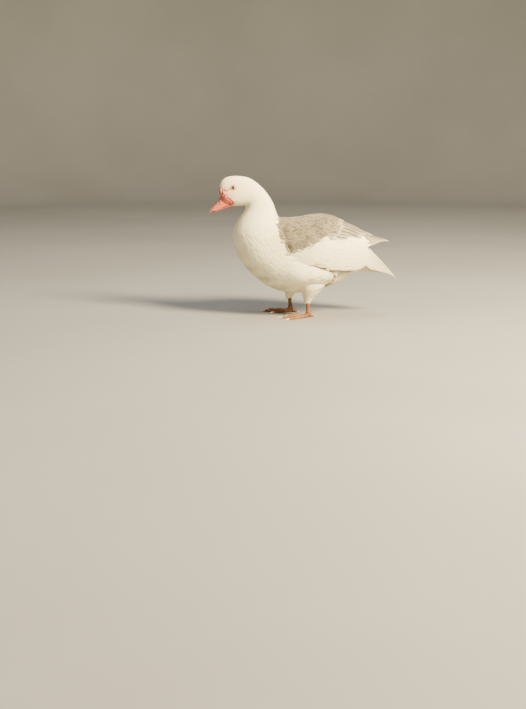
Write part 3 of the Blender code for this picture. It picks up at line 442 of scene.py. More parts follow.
def make_mesh(name, points, faces, uvs=(), values=(), normals=None):
    """A mesh from arrays: quads as rows of corner numbers, UV maps by corner, values by point."""
    mesh = bpy.data.meshes.new(name)
    mesh.vertices.add(len(points))
    mesh.vertices.foreach_set("co", np.ascontiguousarray(points, np.float32).ravel())
    count, corners = faces.shape
    mesh.loops.add(count * corners)
    mesh.loops.foreach_set("vertex_index", faces.astype(np.int32).ravel())
    mesh.polygons.add(count)
    mesh.polygons.foreach_set("loop_start", np.arange(0, count * corners, corners, dtype=np.int32))
    mesh.update(calc_edges=True)
    for map_name, uv in uvs:
        layer = mesh.uv_layers.new(name=map_name)
        layer.uv.foreach_set("vector", np.ascontiguousarray(uv, np.float32).ravel())
    for value_name, value in values:
        layer = mesh.attributes.new(value_name, "FLOAT", "POINT")
        layer.data.foreach_set("value", np.ascontiguousarray(value, np.float32).ravel())
    mesh.shade_smooth()
    mesh.validate()
    if normals is not None:
        mesh.normals_split_custom_set_from_vertices(np.ascontiguousarray(normals, np.float32))
    return mesh


def turn_of(surface, a, b, outward):
    """1 or -1, so that a surface's normals point outward at its coordinates a, b."""
    _, normal, _, _ = frame_on(surface, np.array([a]), np.array([b]))
    return 1.0 if normal[0] @ np.array(outward) > 0 else -1.0


BODY_TURN = turn_of(body_at, 0.3, math.pi / 2, (0, -1, 0))
WING_TURN = turn_of(wing_at, 0.03, math.pi / 2, (0, -1, 0))


def place(name, data):
    """A new object in the scene."""
    obj = bpy.data.objects.new(name, data)
    bpy.context.scene.collection.objects.link(obj)
    return obj


def add_piece(name, mesh, material, replaces=()):
    """A piece of the duck: it rides on the root and hides the solids it replaces."""
    obj = place(name, mesh)
    mesh.materials.append(material)
    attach(obj, "root")
    if replaces:
        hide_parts(*replaces)
    return obj


def grid_faces(rows, columns, closed):
    """Quads of a grid of points, and the grid places (row, column) of their corners for UV maps."""
    last = columns if closed else columns - 1
    i, j = (g.ravel() for g in np.meshgrid(np.arange(rows - 1), np.arange(last), indexing="ij"))
    rows_of = np.stack([i, i + 1, i + 1, i], axis=1)
    columns_of = np.stack([j, j, j + 1, j + 1], axis=1)
    return rows_of * columns + columns_of % columns, rows_of, columns_of


def capped(grid):
    """The rows of a tube with one more at each end, drawn in to its middle."""
    first, last = (row.mean(axis=1, keepdims=True).repeat(grid.shape[1], axis=1)
                   for row in (grid[:1], grid[-1:]))
    return np.concatenate([first, grid, last])


def tube_piece(grid, flip=False, caps=True):
    """Points and quads of a closed tube from rows of points, each end drawn in to its middle."""
    grid = capped(grid) if caps else grid
    faces, rows_of, columns_of = grid_faces(grid.shape[0], grid.shape[1], True)
    uv = np.stack([rows_of / (grid.shape[0] - 1), columns_of / grid.shape[1]], axis=-1)
    return grid.reshape(-1, 3), faces[:, ::-1] if flip else faces, uv[:, ::-1] if flip else uv


def join_parts(parts):
    """One set of points, quads and UVs from several."""
    points, faces, uvs = zip(*parts)
    starts = np.cumsum([0, *map(len, points[:-1])])
    faces = [f + start for f, start in zip(faces, starts)]
    return np.concatenate(points), np.concatenate(faces), np.concatenate(uvs)


def saddle_share(points):
    """How grey the plumage is at each point, 0 to 1, from its place in the side view."""
    outline = np.array(SADDLE)
    x, y, z = np.moveaxis(points, -1, 0)
    x = x + SADDLE_WANDER * (np.sin(y * 74) + 0.6 * np.sin(y * 210 + 1.3))
    nearest, inside = np.full(x.shape, 1.0), np.zeros(x.shape, bool)
    for (x0, z0), (x1, z1) in zip(outline, np.roll(outline, -1, axis=0)):
        length2 = (x1 - x0) ** 2 + (z1 - z0) ** 2
        f = np.clip(((x - x0) * (x1 - x0) + (z - z0) * (z1 - z0)) / length2, 0, 1)
        nearest = np.minimum(nearest, np.hypot(x - x0 - f * (x1 - x0), z - z0 - f * (z1 - z0)))
        crosses = (z0 > z) != (z1 > z)
        inside ^= crosses & (x < (x1 - x0) * (z - z0) / (z1 - z0 + 1e-12) + x0)
    return smoothstep(-SADDLE_SOFT, SADDLE_SOFT, np.where(inside, nearest, -nearest))


def bare_share(points, wandering=1.0):
    """How bare the face's skin is, and how red: round the bill, on the lores and round the eye."""
    x, z = points[..., 0], points[..., 2]
    from_eye = np.hypot(x - EYE_AT[0], z - EYE_AT[1])
    (x0, z0), (x1, z1) = FACE_TOP, FACE_GAPE
    length = math.hypot(x1 - x0, z1 - z0)
    behind = ((x - x0) * (z0 - z1) + (z - z0) * (x1 - x0)) / length
    along = np.clip(((x - x0) * (x1 - x0) + (z - z0) * (z1 - z0)) / length**2, -0.2, 1.2)
    wander = wandering * FACE_WANDER * (np.sin(x * 1900 + z * 900) + np.sin(z * 2500 - x * 600))
    band = smoothstep(*BAND_EDGE, behind + wander) * smoothstep(*BAND_END, along)
    f = np.clip((x - LORES_AT[0]) / (EYE_AT[0] - LORES_AT[0]), 0, 1)
    middle = LORES_AT[1] + (EYE_AT[1] - LORES_AT[1]) * f
    thick = LORES_THICK - LORES_THINNER * f
    lores = smoothstep(thick + LORES_SOFT, thick - LORES_SOFT, np.abs(z - middle) + wander)
    lores = lores * smoothstep(*LORES_BACK, x) * (x > LORES_FRONT)
    ring = smoothstep(*EYE_RING, from_eye + wander)
    front = smoothstep(*FOREHEAD_EDGE, x)
    bare = np.maximum.reduce([band, lores, ring, front * (z < FOREHEAD_TOP)])
    bare = bare * (z > FACE_LOW) * (x < FACE_REAR)
    rim = LID_RED * bell(from_eye - LID_AT, LID_RED_WIDE)
    red = np.maximum.reduce([smoothstep(*RED_EDGE, behind + wander), front, rim])
    return bare, np.clip(red, 0, 1) * bare


def soil_share(points):
    """How far the white feathers are darkened: painted shade and some dirt at the places listed in the side
    view, and painted shade in the cleft behind the flank.
    """
    x, y, z = np.moveaxis(points, -1, 0)
    soil = np.zeros(x.shape)
    for at_x, at_z, long, tall, most in SHADE_AND_SOIL:
        soil = np.maximum(soil, most * np.exp(-(((x - at_x) / long) ** 2) - ((z - at_z) / tall) ** 2))
    # Painted shade in the cleft along the lobe's edge, fading in front and towards the top.
    out = lobe_distance(points) - LOBE_EDGE[0]
    cleft = CLEFT_SHADE * bell(out, np.where(out < 0, *CLEFT_WIDE))
    soil = np.maximum(soil, cleft * smoothstep(*CLEFT_FRONT, x) * smoothstep(*CLEFT_TOP, z))
    return np.clip(soil * np.where(y > 0, FAINTER_ON_RIGHT, 1.0), 0, 1)


def caruncle_bulbs():
    """Places, radii and turns of the warty bulbs: the rows by the bill's root, and small ones round them."""
    made = []
    for start, end, count, first, last in BULB_ROWS:
        for k in range(count):
            f = k / (count - 1)
            at = np.array(start) + (np.array(end) - start) * f + draw.uniform(-BULB_JITTER, BULB_JITTER, 2)
            radius = (first + (last - first) * f) * draw.uniform(0.65, 1.35)
            made.append((*at, radius, draw.uniform(0, math.pi)))
    for _ in range(SMALL_BULB_TRIES):
        at = np.array([draw.uniform(*SMALL_BULB_X), draw.uniform(*SMALL_BULB_Z)])
        bare, red = bare_share(np.array([[at[0], 0, at[1]]]))
        from_eye = math.hypot(at[0] - EYE_AT[0], at[1] - EYE_AT[1])
        if bare[0] > 0.6 and red[0] > 0.25 and from_eye > SMALL_BULB_FROM_EYE:
            radius = draw.uniform(*SMALL_BULB) + SMALL_BULB_GROWS * red[0] * draw.uniform(0, 1)
            made.append((*at, radius, draw.uniform(0, math.pi)))
    return made


def with_bulb(height, distance2, radius, reach):
    """The height with a round bulb joined softly to it, from the squared distance to its middle."""
    bulb = radius * BULB_HIGH * np.clip(1 - distance2 / (reach * radius) ** 2, 0, 1) ** 1.2
    return (height**3 + bulb**3) ** (1 / 3)


def head_relief(points):
    """How far the bare skin stands up from the head's form: bulbs, knob and the lids."""
    height = np.zeros(points.shape[:-1])
    near = (points[..., 0] < RELIEF_REAR) & (points[..., 2] < RELIEF_TOP)
    p = points[near]
    found = np.zeros(len(p))
    for x, z, radius, turn in caruncle_bulbs():
        dx, dz = p[:, 0] - x, p[:, 2] - z
        long = dx * math.cos(turn) + dz * math.sin(turn)
        wide = dz * math.cos(turn) - dx * math.sin(turn)
        found = with_bulb(found, (long * 0.80) ** 2 + (wide * 1.10) ** 2, radius, 1.25)
    for n, (x, z, radius) in enumerate(KNOB):
        d2 = (p[:, 0] - x) ** 2 + (p[:, 2] - z) ** 2 + (p[:, 1] - KNOB_ASIDE * (-1) ** n) ** 2
        found = with_bulb(found, d2, radius, 1.6)
    dx, dz = p[:, 0] - EYE_AT[0], (p[:, 2] - EYE_AT[1]) / LID_FLAT
    d, angle = np.hypot(dx, dz), np.arctan2(dz, dx)
    lid = LID_HIGH * (1 + 0.12 * np.sin(angle * 17)) * bell(d - LID_AT, LID_WIDE)
    fold = FOLD_HIGH * bell(d - LID_AT - FOLD_OUT, FOLD_WIDE) * (1 + 0.5 * np.sin(angle * 13))
    socket = SOCKET_DEEP * smoothstep(*SOCKET_EDGE, d)
    height[near] = np.where(d < LID_AT + LID_REACH, lid + fold - socket, found)
    return height


def skin_values(points, **given):
    """What the skin's material reads at each point: its tone, the given values, and 0 for the rest."""
    values = {name: np.zeros(len(points)) for name in ("bare", "red", "seed", "relief", "soil")}
    return [("tone", saddle_share(points)), *{**values, **given}.items()]


def skin_piece(material):
    """One skin over torso, neck, head and thighs, inside the coat by its depth."""
    s = np.unique(np.concatenate([np.linspace(*stretch) for stretch in SKIN_STRETCHES]))
    turns = full_turn(SKIN_COLUMNS)
    a, b = np.meshgrid(s, turns + 0.26 * np.sin(2 * turns), indexing="ij")
    points, normal, _, _ = frame_on(body_at, np.clip(a, 0.002, 0.998), b + 1e-4)
    normal = normal * np.sign((normal * (points - points.mean(axis=1, keepdims=True))).sum())
    flat, _ = bare_share(points, 0.0)
    depth = coat_depth(a) * (1 - flat) + SKIN_DEPTH * flat
    relief = head_relief(points)
    grid = capped(points + normal * (relief * smoothstep(0, 0.6, flat) - depth)[..., None])
    faces, rows_of, columns_of = grid_faces(grid.shape[0], SKIN_COLUMNS, True)
    uv = np.stack([rows_of / (grid.shape[0] - 1) * 0.9, columns_of / SKIN_COLUMNS * 0.9], axis=-1)
    parts = [(grid.reshape(-1, 3), faces, uv)]
    for n, leg in enumerate(LEGS):
        h, r = np.meshgrid(np.linspace(0, 1, 24), full_turn(48), indexing="ij")
        form, out, _, _ = frame_on(thigh_at(leg), np.clip(h, 0.01, 0.99), r)
        out = out * np.sign((out * (form - form.mean(axis=1, keepdims=True))).sum())
        p, f, uv = tube_piece(form - out * THIGH_COAT, flip=True)
        parts.append((p, f, uv * (0.04, 0.4) + (0.92, 0.5 * n)))
    points, faces, uv = join_parts(parts)
    bare, red = bare_share(points)
    relief = np.concatenate([relief[:1], relief, relief[-1:]]).ravel()
    relief = np.pad(relief, (0, len(points) - len(relief))) / RELIEF_UNIT
    # The skin's down carries the painted shade and dirt marks too.
    values = skin_values(points, bare=bare, red=red, relief=relief, soil=soil_share(points))
    mesh = make_mesh("skin", points, faces, [("OFBake", uv)], values)
    add_piece("skin", mesh, material, replaces=("torso", "neck", "head", "thigh_left", "thigh_right"))


def feather_outline(u, point):
    """Half width along a feather as a share of its widest: round or, with point, sharper at the tip."""
    root = 0.25 + 0.75 * smoothstep(0, 0.38, u)
    return root * np.maximum(rounded_end(u, 0.55, 2.4 - point), 0.10)


def feather_piece(name, vanes, unwrap, tone, look, material, replaces=()):
    """One piece of many feathers, with a place to unwrap and a tone for each."""
    path, side, normal, u, half, ground = vanes
    columns, thick = look["columns"], look["thick"]
    w = np.linspace(-1, 1, columns)
    count, rows = path.shape[:2]
    size, half = rows * columns, half[..., None]
    ragged = 1 + look["ragged"] * draw.normal(size=(count, rows, columns)) * (np.abs(w) > 0.9)
    ragged[:, : rows // 3] = 1
    height = -look["camber"] * half * w**2 + look["shaft"] * bell(w, SHAFT_SHARE)
    wave = look["wave"] * np.sin(u[None, :, None] * 9 + draw.uniform(0, 6.28, (count, 1, 1)) + w * 2)
    height = height + wave * np.abs(w)
    points = path[:, :, None] + side[:, :, None] * (w * half * ragged)[..., None]
    points = points + normal[:, :, None] * height[..., None]
    along = np.cross(side, normal)
    along = along * np.sign((along * np.gradient(path, axis=1)).sum(axis=-1, keepdims=True))
    fray = look["fray"] * draw.uniform(-1.0, 0.6, (count, 1, columns)) * (u**5)[None, :, None] * half
    points = (points + along[:, :, None] * fray[..., None]).reshape(-1, 3)
    seed, tone = np.repeat(draw.uniform(0, 1, count), size), np.repeat(tone, size)

    def on_each(corners):
        return (corners[None] + np.arange(count)[:, None, None] * size).reshape(-1, 4)

    def maps(row_of, column_of):
        """Both maps of all feathers, from the rows and columns of one feather's corners."""
        uv = np.stack([column_of / (columns - 1), u[row_of]], axis=-1)
        bake = unwrap[:, None, None, :] + ((uv - 0.5) * BAKE_PATCH)[None]
        return np.tile(uv.reshape(-1, 2), (count, 1)), bake.reshape(-1, 2)

    faces, row_of, column_of = grid_faces(rows, columns, False)
    turned = (np.cross(np.gradient(path, axis=1), side) * normal).sum() < 0
    if turned:
        faces, row_of, column_of = faces[:, ::-1], row_of[:, ::-1], column_of[:, ::-1]
    faces, (uv, bake) = on_each(faces), maps(row_of, column_of)
    if thick:
        rim = np.concatenate([np.arange(columns), np.arange(2 * columns - 1, size, columns),
                              np.arange(size - 2, size - columns - 1, -1),
                              np.arange(size - 2 * columns, 0, -columns)])
        rim = rim if turned else rim[::-1]
        band = np.stack([rim, np.roll(rim, -1), np.roll(rim, -1), rim], axis=1)
        band_uv, band_bake = maps(band // columns, band % columns)
        total = count * size
        faces = np.concatenate([faces, faces[:, ::-1] + total, on_each(band + (0, 0, total, total))])
        uv, bake = (np.concatenate([top, top.reshape(-1, 4, 2)[:, ::-1].reshape(-1, 2), edge])
                    for top, edge in ((uv, band_uv), (bake, band_bake)))
        points = np.concatenate([points, points - np.repeat(normal.reshape(-1, 3), columns, axis=0) * thick])
        seed, tone = np.tile(seed, 2), np.tile(tone, 2)
    shading = None
    if ground is not None:
        own = normal[:, :, None] + side[:, :, None] * (2 * look["camber"] * w)[None, None, :, None]
        soft = look["soft"]
        shading = unit(own * (1 - soft) + ground[:, :, None] * soft).reshape(-1, 3)
        shading = np.concatenate([shading, -shading]) if thick else shading
    # Each point carries its share of painted shade and dirt.
    values = [("seed", seed), ("tone", tone), ("soil", soil_share(points))]
    mesh = make_mesh(name, points, faces, [("OFBake", bake), ("Feather", uv)], values, shading)
    return add_piece(name, mesh, material, replaces=replaces)


def vane_frame(path, normal, towards, lean):
    """Which way the vanes along a path spread, tipped up by the lean, and which way is out from them."""
    along = unit(np.gradient(path, axis=-2))
    across = unit(np.cross(normal, along))
    across = across * np.sign(across @ np.array(towards) + 1e-9)[..., None]
    side = across * math.cos(lean) + normal * math.sin(lean)
    face = np.cross(along, side)
    return side, face * np.sign((face * normal).sum(axis=-1, keepdims=True))


def lay_feathers(surface, turn, a, b, direction, length, half, heights, splay, rows, point):
    """Runs a shaft over a surface for each root a, b, bending with it. heights gives lift by share."""
    u = crowded(rows, 1.3)
    _, _, slope_a, slope_b = frame_on(surface, a, b, turn=turn)
    rate_a, rate_b = np.linalg.norm(slope_a, axis=-1), np.linalg.norm(slope_b, axis=-1)
    step = u[None] * length[:, None]
    path_a = a[:, None] + direction * step * np.cos(splay)[:, None] / rate_a[:, None]
    path_b = b[:, None] + step * np.sin(splay)[:, None] / rate_b[:, None]
    points, normal, _, _ = frame_on(surface, path_a, path_b, turn=turn)
    points = points + normal * heights(u)[..., None]
    along = unit(np.gradient(points, axis=1))
    side = unit(np.cross(normal, along))
    return Vanes(points, side, np.cross(along, side), u, half[:, None] * feather_outline(u, point), normal)


def spread_points(surface, spacing, bounds, tries, seed, allowed=None):
    """Roots a, b spread evenly over a surface, no two closer than the spacing there, and that spacing."""
    pick = np.random.default_rng(seed)
    a = pick.uniform(bounds[0], bounds[1], tries)
    b = pick.uniform(bounds[2], bounds[3], tries)
    points, _, slope_a, slope_b = frame_on(surface, a, b)
    gap = spacing(a)
    chance = np.linalg.norm(np.cross(slope_a, slope_b), axis=-1) / gap**2
    keep = pick.uniform(0, 1, tries) < chance / np.quantile(chance, 0.98)
    if allowed:
        keep = keep & allowed(points)
    a, b, points, gap = a[keep], b[keep], points[keep], gap[keep]
    cell = float(gap.max())
    table, chosen = {}, []
    around = list(itertools.product((-1, 0, 1), repeat=3))
    for n, p in enumerate(points):
        x, y, z = (p // cell).astype(int)
        near = (p - points[m] for i, j, k in around for m in table.get((x + i, y + j, z + k), ()))
        if all(d[0] * d[0] + d[1] * d[1] + d[2] * d[2] >= gap[n] ** 2 for d in near):
            table.setdefault((x, y, z), []).append(n)
            chosen.append(n)
    return a[chosen], b[chosen], gap[chosen]


def wing_reach(x, z, last, count):
    """How far out the wing reaches beside places x, z, and how low and high it is there."""
    ring = wing_at(x[..., None], np.radians(np.linspace(8, last, count)))
    nearest = np.argmin(np.abs(ring[..., 2] - z[..., None]), axis=-1)
    reach = -np.take_along_axis(ring[..., 1], nearest[..., None], axis=-1)[..., 0]
    return reach, ring[..., -1, 2], ring[..., 0, 2]


def outside_wing(points):
    """Where the folded wings don't cover the body."""
    x, y, z = points[..., 0], np.abs(points[..., 1]), points[..., 2]
    reach, low, high = wing_reach(np.clip(x, *WING_COVERS), z, 112, 27)
    beside = (x > WING_COVERS[0]) & (x < WING_COVERS[1]) & (z > low + WING_HEM) & (z < high)
    covered = beside & (y < reach - WING_CLEAR)
    return ~covered | (lobe_share(points) > 0.4) | ((y < BACK_HALF) & (z > BACK_LOW))


def lobe_distance(points):
    """How far out points are in the side view from the middle of the flank's lobe: 1 on its outline."""
    return np.hypot((points[..., 0] - LOBE_AT[0]) / LOBE_LONG, (points[..., 2] - LOBE_AT[1]) / LOBE_TALL)


def lobe_share(points):
    """Where the flank's feathers lie over the folded wing's lower edge, 0 to 1."""
    return smoothstep(*LOBE_EDGE, lobe_distance(points))


def inside_lobe(a, b, length, turned_under):
    """Feather lengths cut so that the lobe's own feathers end on its outline."""
    root, _, slope_a, _ = frame_on(body_at, a, b)
    own = (lobe_distance(root) < 1) & (root[:, 0] > 0) & ~turned_under
    rate = np.linalg.norm(slope_a, axis=-1)
    for _ in range(12):
        tip = body_at(a - length / rate, b)
        length = np.where(own & (lobe_distance(tip) > 1.0), length * 0.92, length)
    return length


def over_wing(points, turned_under):
    """How far the flank's feathers, feather x row x 3, are raised so that they lie on the wing."""
    x, d = points[..., 0], lobe_distance(points)
    own = (lobe_distance(points[:, 0]) < 1) & ~turned_under
    rear = smoothstep(0.0, 0.04, x)
    raised = np.where(own[:, None], LOBE_RISE * smoothstep(1.05, 0.70, d) * rear,
                      -CLEFT_DEPTH * bell(d - 1.04, 0.24) * rear)
    near = own & (lobe_share(points[:, 0]) > 0.1)
    p = points[near]
    reach, _, _ = wing_reach(np.clip(p[..., 0], *LOBE_ON_WING), p[..., 2], 118, 56)
    above = OVER_WING[0] + OVER_WING[1] * lobe_share(p)
    root = smoothstep(0, 0.5, np.linspace(0, 1, points.shape[1]))
    height = reach + above - ROOT_SINK * (1 - root) - np.abs(p[..., 1])
    raised[near] = np.maximum(raised[near], height * smoothstep(0.104, 0.122, p[..., 2]))
    return raised


def feathered(points):
    """Where the body grows feathers: beside the wings, and only a few on the bare face."""
    bare, red = bare_share(points)
    sparse = (red < 0.3) & (draw.uniform(0, 1, len(bare)) < 0.30)
    return outside_wing(points) & ((bare < 0.60) | sparse)


def body_plumage(name, zone, seed, material):
    """Small feathers over one stretch of tail core, torso, neck and head, lying towards the tail."""
    def spacing(a):
        return coat_spacing(a) * zone["tight"]

    def heights(u):
        return lift * (u**0.75 - 0.22 * u**5) - depth

    bounds = (*zone["stretch"], 0, 2 * math.pi)
    a, b, gap = spread_points(body_at, spacing, bounds, zone["tries"], seed, feathered)
    depth = coat_depth(a)[:, None]
    length = gap * draw.uniform(3.2, 4.6, len(a)) * zone["longer"]
    turned_under = draw.uniform(0, 1, len(a)) < 0.35
    length = inside_lobe(a, b, length, turned_under)
    half = gap * draw.uniform(0.78, 1.02, len(a)) * zone["wider"]
    lift = draw.uniform(0.90, 1.06, len(a))[:, None] * depth
    splay = draw.normal(0, 0.13, len(a))
    vanes = lay_feathers(body_at, BODY_TURN, a, b, -1, length, half, heights, splay, zone["rows"], 0.35)
    path = vanes.path + vanes.normal * over_wing(vanes.path, turned_under)[..., None]
    unwrap = np.stack([a * 0.9, b / (2 * math.pi) * 0.9], axis=1)
    look = {**BODY_LOOK, **zone["look"]}
    feather_piece(name, vanes._replace(path=path), unwrap, saddle_share(path[:, -3]), look, material)


def mirror_piece(left, material, replaces=()):
    """The same piece on the duck's other side."""
    name = left.name.replace("_left", "_right")
    mesh = left.data.copy()
    mesh.name = name
    mesh.transform(Matrix.Diagonal((1, -1, 1, 1)))
    mesh.flip_normals()
    mesh.materials.clear()
    layer = mesh.uv_layers["OFBake"]
    uv = np.empty(len(mesh.loops) * 2, np.float32)
    layer.uv.foreach_get("vector", uv)
    uv[1::2] = 0.9 - uv[1::2]
    layer.uv.foreach_set("vector", uv)
    add_piece(name, mesh, material, replaces=replaces)


def wing_pads(material):
    """The wings' bodies under their feathers."""
    rows = []
    for share, x in zip(np.linspace(0, 1, PAD_ROWS), np.linspace(*PAD_X, PAD_ROWS)):
        angles = np.radians(np.linspace(9 + 8 * share**2, 103 - 2 * share, 30))
        outer, normal, _, _ = frame_on(wing_at, np.full(30, x), angles, turn=WING_TURN)
        depth = PAD_DEPTH + 0.010 * max(0, 1 - share / 0.12) ** 2
        inner = (outer - normal * (depth + 0.020 - 0.012 * share))[::-1]
        rows.append(np.concatenate([outer - normal * depth, inner]))
    points, faces, uv = tube_piece(np.array(rows))
    mesh = make_mesh("wing_pad_left", points, faces, [("OFBake", uv * 0.9)], skin_values(points))
    left = add_piece("wing_pad_left", mesh, material, replaces=("wing_left",))
    mirror_piece(left, material, ("wing_right",))


def wing_unwrap(x, t):
    return np.stack([0.1 + 0.8 * (x + 0.08) / 0.3, 0.05 + 0.4 * t / 2.2], axis=1)


def tier_feathers(name, tier, material):
    """One tier of long wing feathers on both wings."""
    count, rows = tier["count"], LONG_ROWS
    f = np.linspace(0, 1, count)[:, None]
    jitter = draw.normal(0, 1, (count, 2)) * TIP_JITTER
    root, tip = (np.array(tier[end][0]) + (np.array(tier[end][1]) - tier[end][0]) * f
                 for end in ("root", "tip"))
    tip = tip + jitter
    u = crowded(rows, 1.5)
    x = root[:, :1] + (tip[:, :1] - root[:, :1]) * u
    t = np.radians(root[:, 1:] + (tip[:, 1:] - root[:, 1:]) * u)
    points, normal, _, _ = frame_on(wing_at, x, t, turn=WING_TURN)
    low, high = tier["lift"]
    lift = low + (high - low) * np.minimum(1, u * 1.6) - TIP_SETTLES * u**4
    points = points + normal * lift[None, :, None]
    side, face = vane_frame(points, normal, (0, 0, -1), LEAN)
    half = tier["half"] * draw.uniform(0.93, 1.07, (count, 1)) * feather_outline(u, 0.2)[None]
    tone = saddle_share(points[:, rows // 2]) if tier["grey"] is None else np.full(count, tier["grey"])
    vanes = Vanes(points, side, face, u, half, normal)
    unwrap = wing_unwrap(x[:, 0], t[:, 0])
    mirror_piece(feather_piece(f"{name}_left", vanes, unwrap, tone, WING_LOOK, material), material)


def covert_coat(name, coat, material):
    """Small feathers over the wing's front or the mantle, climbing over the tiers behind, on both wings."""
    def spacing(a):
        return np.full(len(a), coat["spacing_mm"] / MM_PER_M)

    def heights(u):
        return base[:, None] + rise[:, None] * (u**0.8 - 0.2 * u**5)[None]

    bounds = (*coat["x"], *np.radians(coat["degrees"]))
    a, b, gap = spread_points(wing_at, spacing, bounds, 9000, coat["seed"])
    length = gap * coat["longer"] * draw.uniform(0.9, 1.1, len(a))
    half = gap * draw.uniform(0.78, 0.92, len(a))
    low, high, top = coat["climb"]
    base = low + (high - low) * smoothstep(*coat["x"], a)
    rise = draw.uniform(0.9, 1.1, len(a)) * top
    splay = draw.normal(0, 0.08, len(a))
    vanes = lay_feathers(wing_at, WING_TURN, a, b, 1, length, half, heights, splay, 10, 0.3)
    tone, unwrap = saddle_share(vanes.path[:, 6]), wing_unwrap(a, b)
    mirror_piece(feather_piece(f"{name}_left", vanes, unwrap, tone, COVERT_LOOK, material), material)


def tail_feathers(name, tier, material, replaces=()):
    """One tier of the tail's feathers on its arc."""
    back = np.array([math.cos(TAIL_SLOPE), 0, -math.sin(TAIL_SLOPE)])
    up = np.array([math.sin(TAIL_SLOPE), 0, math.cos(TAIL_SLOPE)])
    out = np.array([0, 1.0, 0])
    top = np.array([tier["start"][0], 0, tier["start"][1]])
    count, u = tier["side_count"], crowded(LONG_ROWS, 1.5)
    wide = tier["round_"][0] + (tier["round_"][1] - tier["round_"][0]) * u
    paths, sides, faces = [], [], []
    for k in sorted(range(-count, count + 1), key=lambda k: -abs(k)):
        f, arc = abs(k) / count, k / count * tier["arc"]
        normal = up * math.cos(arc) + out * math.sin(arc)
        length = tier["length"] * (1 - tier["shorter"][0] * f - tier["shorter"][1] * f * f)
        sink = abs(k) * TAIL_STEP + tier["sink"] * (1 - u) ** 2 + TAIL_CURL * u * u
        path = top + back * (length * u)[:, None] + normal * (wide - sink)[:, None] - up * wide[:, None]
        side, face = vane_frame(path, normal, out, TAIL_LEAN * np.sign(k))
        paths.append(path)
        sides.append(side)
        faces.append(face)
    half = np.tile(tier["half"] * feather_outline(u, 0.1), (len(paths), 1))
    spots = np.linspace(0, 1, len(paths))
    unwrap = np.stack([0.02 + 0.1 * spots, 0.9 * spots], axis=1)
    vanes = Vanes(np.array(paths), np.array(sides), np.array(faces), u, half, None)
    feather_piece(name, vanes, unwrap, np.zeros(len(paths)), TAIL_LOOK, material, replaces)


def thigh_plumage(material):
    """Small feathers down each thigh, the lowest just over the shank's top."""
    def spacing(a):
        return THIGH_SPACING - 0.0018 * a

    def heights(u):
        return 0.0032 * u**0.8 - 0.0004 * u**5 - 0.0029

    for n, leg in enumerate(LEGS):
        surface = thigh_at(leg)
        a, b, gap = spread_points(surface, spacing, (0.05, 0.93, 0, 2 * math.pi), 9000, 40 + n)
        length = np.minimum(gap * draw.uniform(4.0, 5.4, len(a)), 0.007 + (1.0 - a) * 0.075)
        half = gap * draw.uniform(0.70, 1.0, len(a))
        turn, splay = turn_of(surface, 0.5, 0.0, (1, 0, 0)), draw.normal(0, 0.14, len(a))
        vanes = lay_feathers(surface, turn, a, b, 1, length, half, heights, splay, 7, 0.5)
        unwrap = np.stack([0.92 + 0.04 * a, 0.5 * n + 0.4 * b / (2 * math.pi)], axis=1)
        feather_piece(f"plumage_thigh_{leg}", vanes, unwrap, np.zeros(len(a)), THIGH_LOOK, material)


def bill_grid(ribs, widest, rows, count):
    """Rows of points round one half of the bill, from its root to its tip."""
    table = np.array([[*r[0], *r[1], r[2]] for r in ribs])
    middles = (table[:, :2] + table[:, 2:4]) / 2
    knots = np.concatenate([[0], np.cumsum(np.linalg.norm(np.diff(middles, axis=0), axis=1))])
    dx, dz, vx, vz, half = spline(knots, table, knots[-1] * crowded(rows, 1.2)).T[:, :, None]
    t = full_turn(count)[None, :]
    rise = signed_power(np.cos(t), 2 / BILL_POWER)
    rise = widest + rise * np.where(rise > 0, 1 - widest, widest)
    x, z = vx + (dx - vx) * rise, vz + (dz - vz) * rise
    return np.stack([x, -half * signed_power(np.sin(t), 2 / BILL_POWER), z], axis=-1)


def nostril_distance(points):
    """How far points are from the nearer nostril, an oval that lies along the bill."""
    dx, dz = points[..., 0] - NOSTRIL[0], points[..., 2] - NOSTRIL[2]
    along, across = (dx + dz) * 0.707, (dx - dz) * 0.707
    return np.sqrt((along * 0.55) ** 2 + across**2 + ((np.abs(points[..., 1]) - NOSTRIL[1]) * 0.8) ** 2)


def bill_pieces(material):
    upper = bill_grid(UPPER_BILL, UPPER_WIDEST, 90, 96)
    d = nostril_distance(upper)
    pit = -0.0034 * bell(d, 0.0017, 4) + 0.00045 * bell(d - 0.0028, 0.0009)
    nail = 0.0004 * bell(upper[..., 1], 0.0048, 4) * smoothstep(0.80, 0.84, np.linspace(0, 1, 90)[:, None])
    rim = sum(0.0003 * bell(full_turn(96) - at, 0.16) for at in (math.pi / 2, 1.5 * math.pi))[None]
    upper = upper + unit(upper - upper.mean(axis=1, keepdims=True)) * (pit + nail + rim)[..., None]
    lower = bill_grid(LOWER_BILL, LOWER_WIDEST, 60, 72)
    for name, grid, nostrils in (("bill_upper", upper, 1.0), ("bill_lower", lower, 0.0)):
        points, faces, uv = tube_piece(grid, flip=True)
        along = np.clip((BILL_FROM - points[:, 0]) / BILL_LONG, 0, 1)
        # Painted shade in the nostrils' pits.
        dark = nostrils * smoothstep(0.0021, 0.0013, nostril_distance(points))
        mesh = make_mesh(f"{name}_horn", points, faces, [("OFBake", uv)], [("along", along), ("dark", dark)])
        add_piece(f"{name}_horn", mesh, material, (name,))


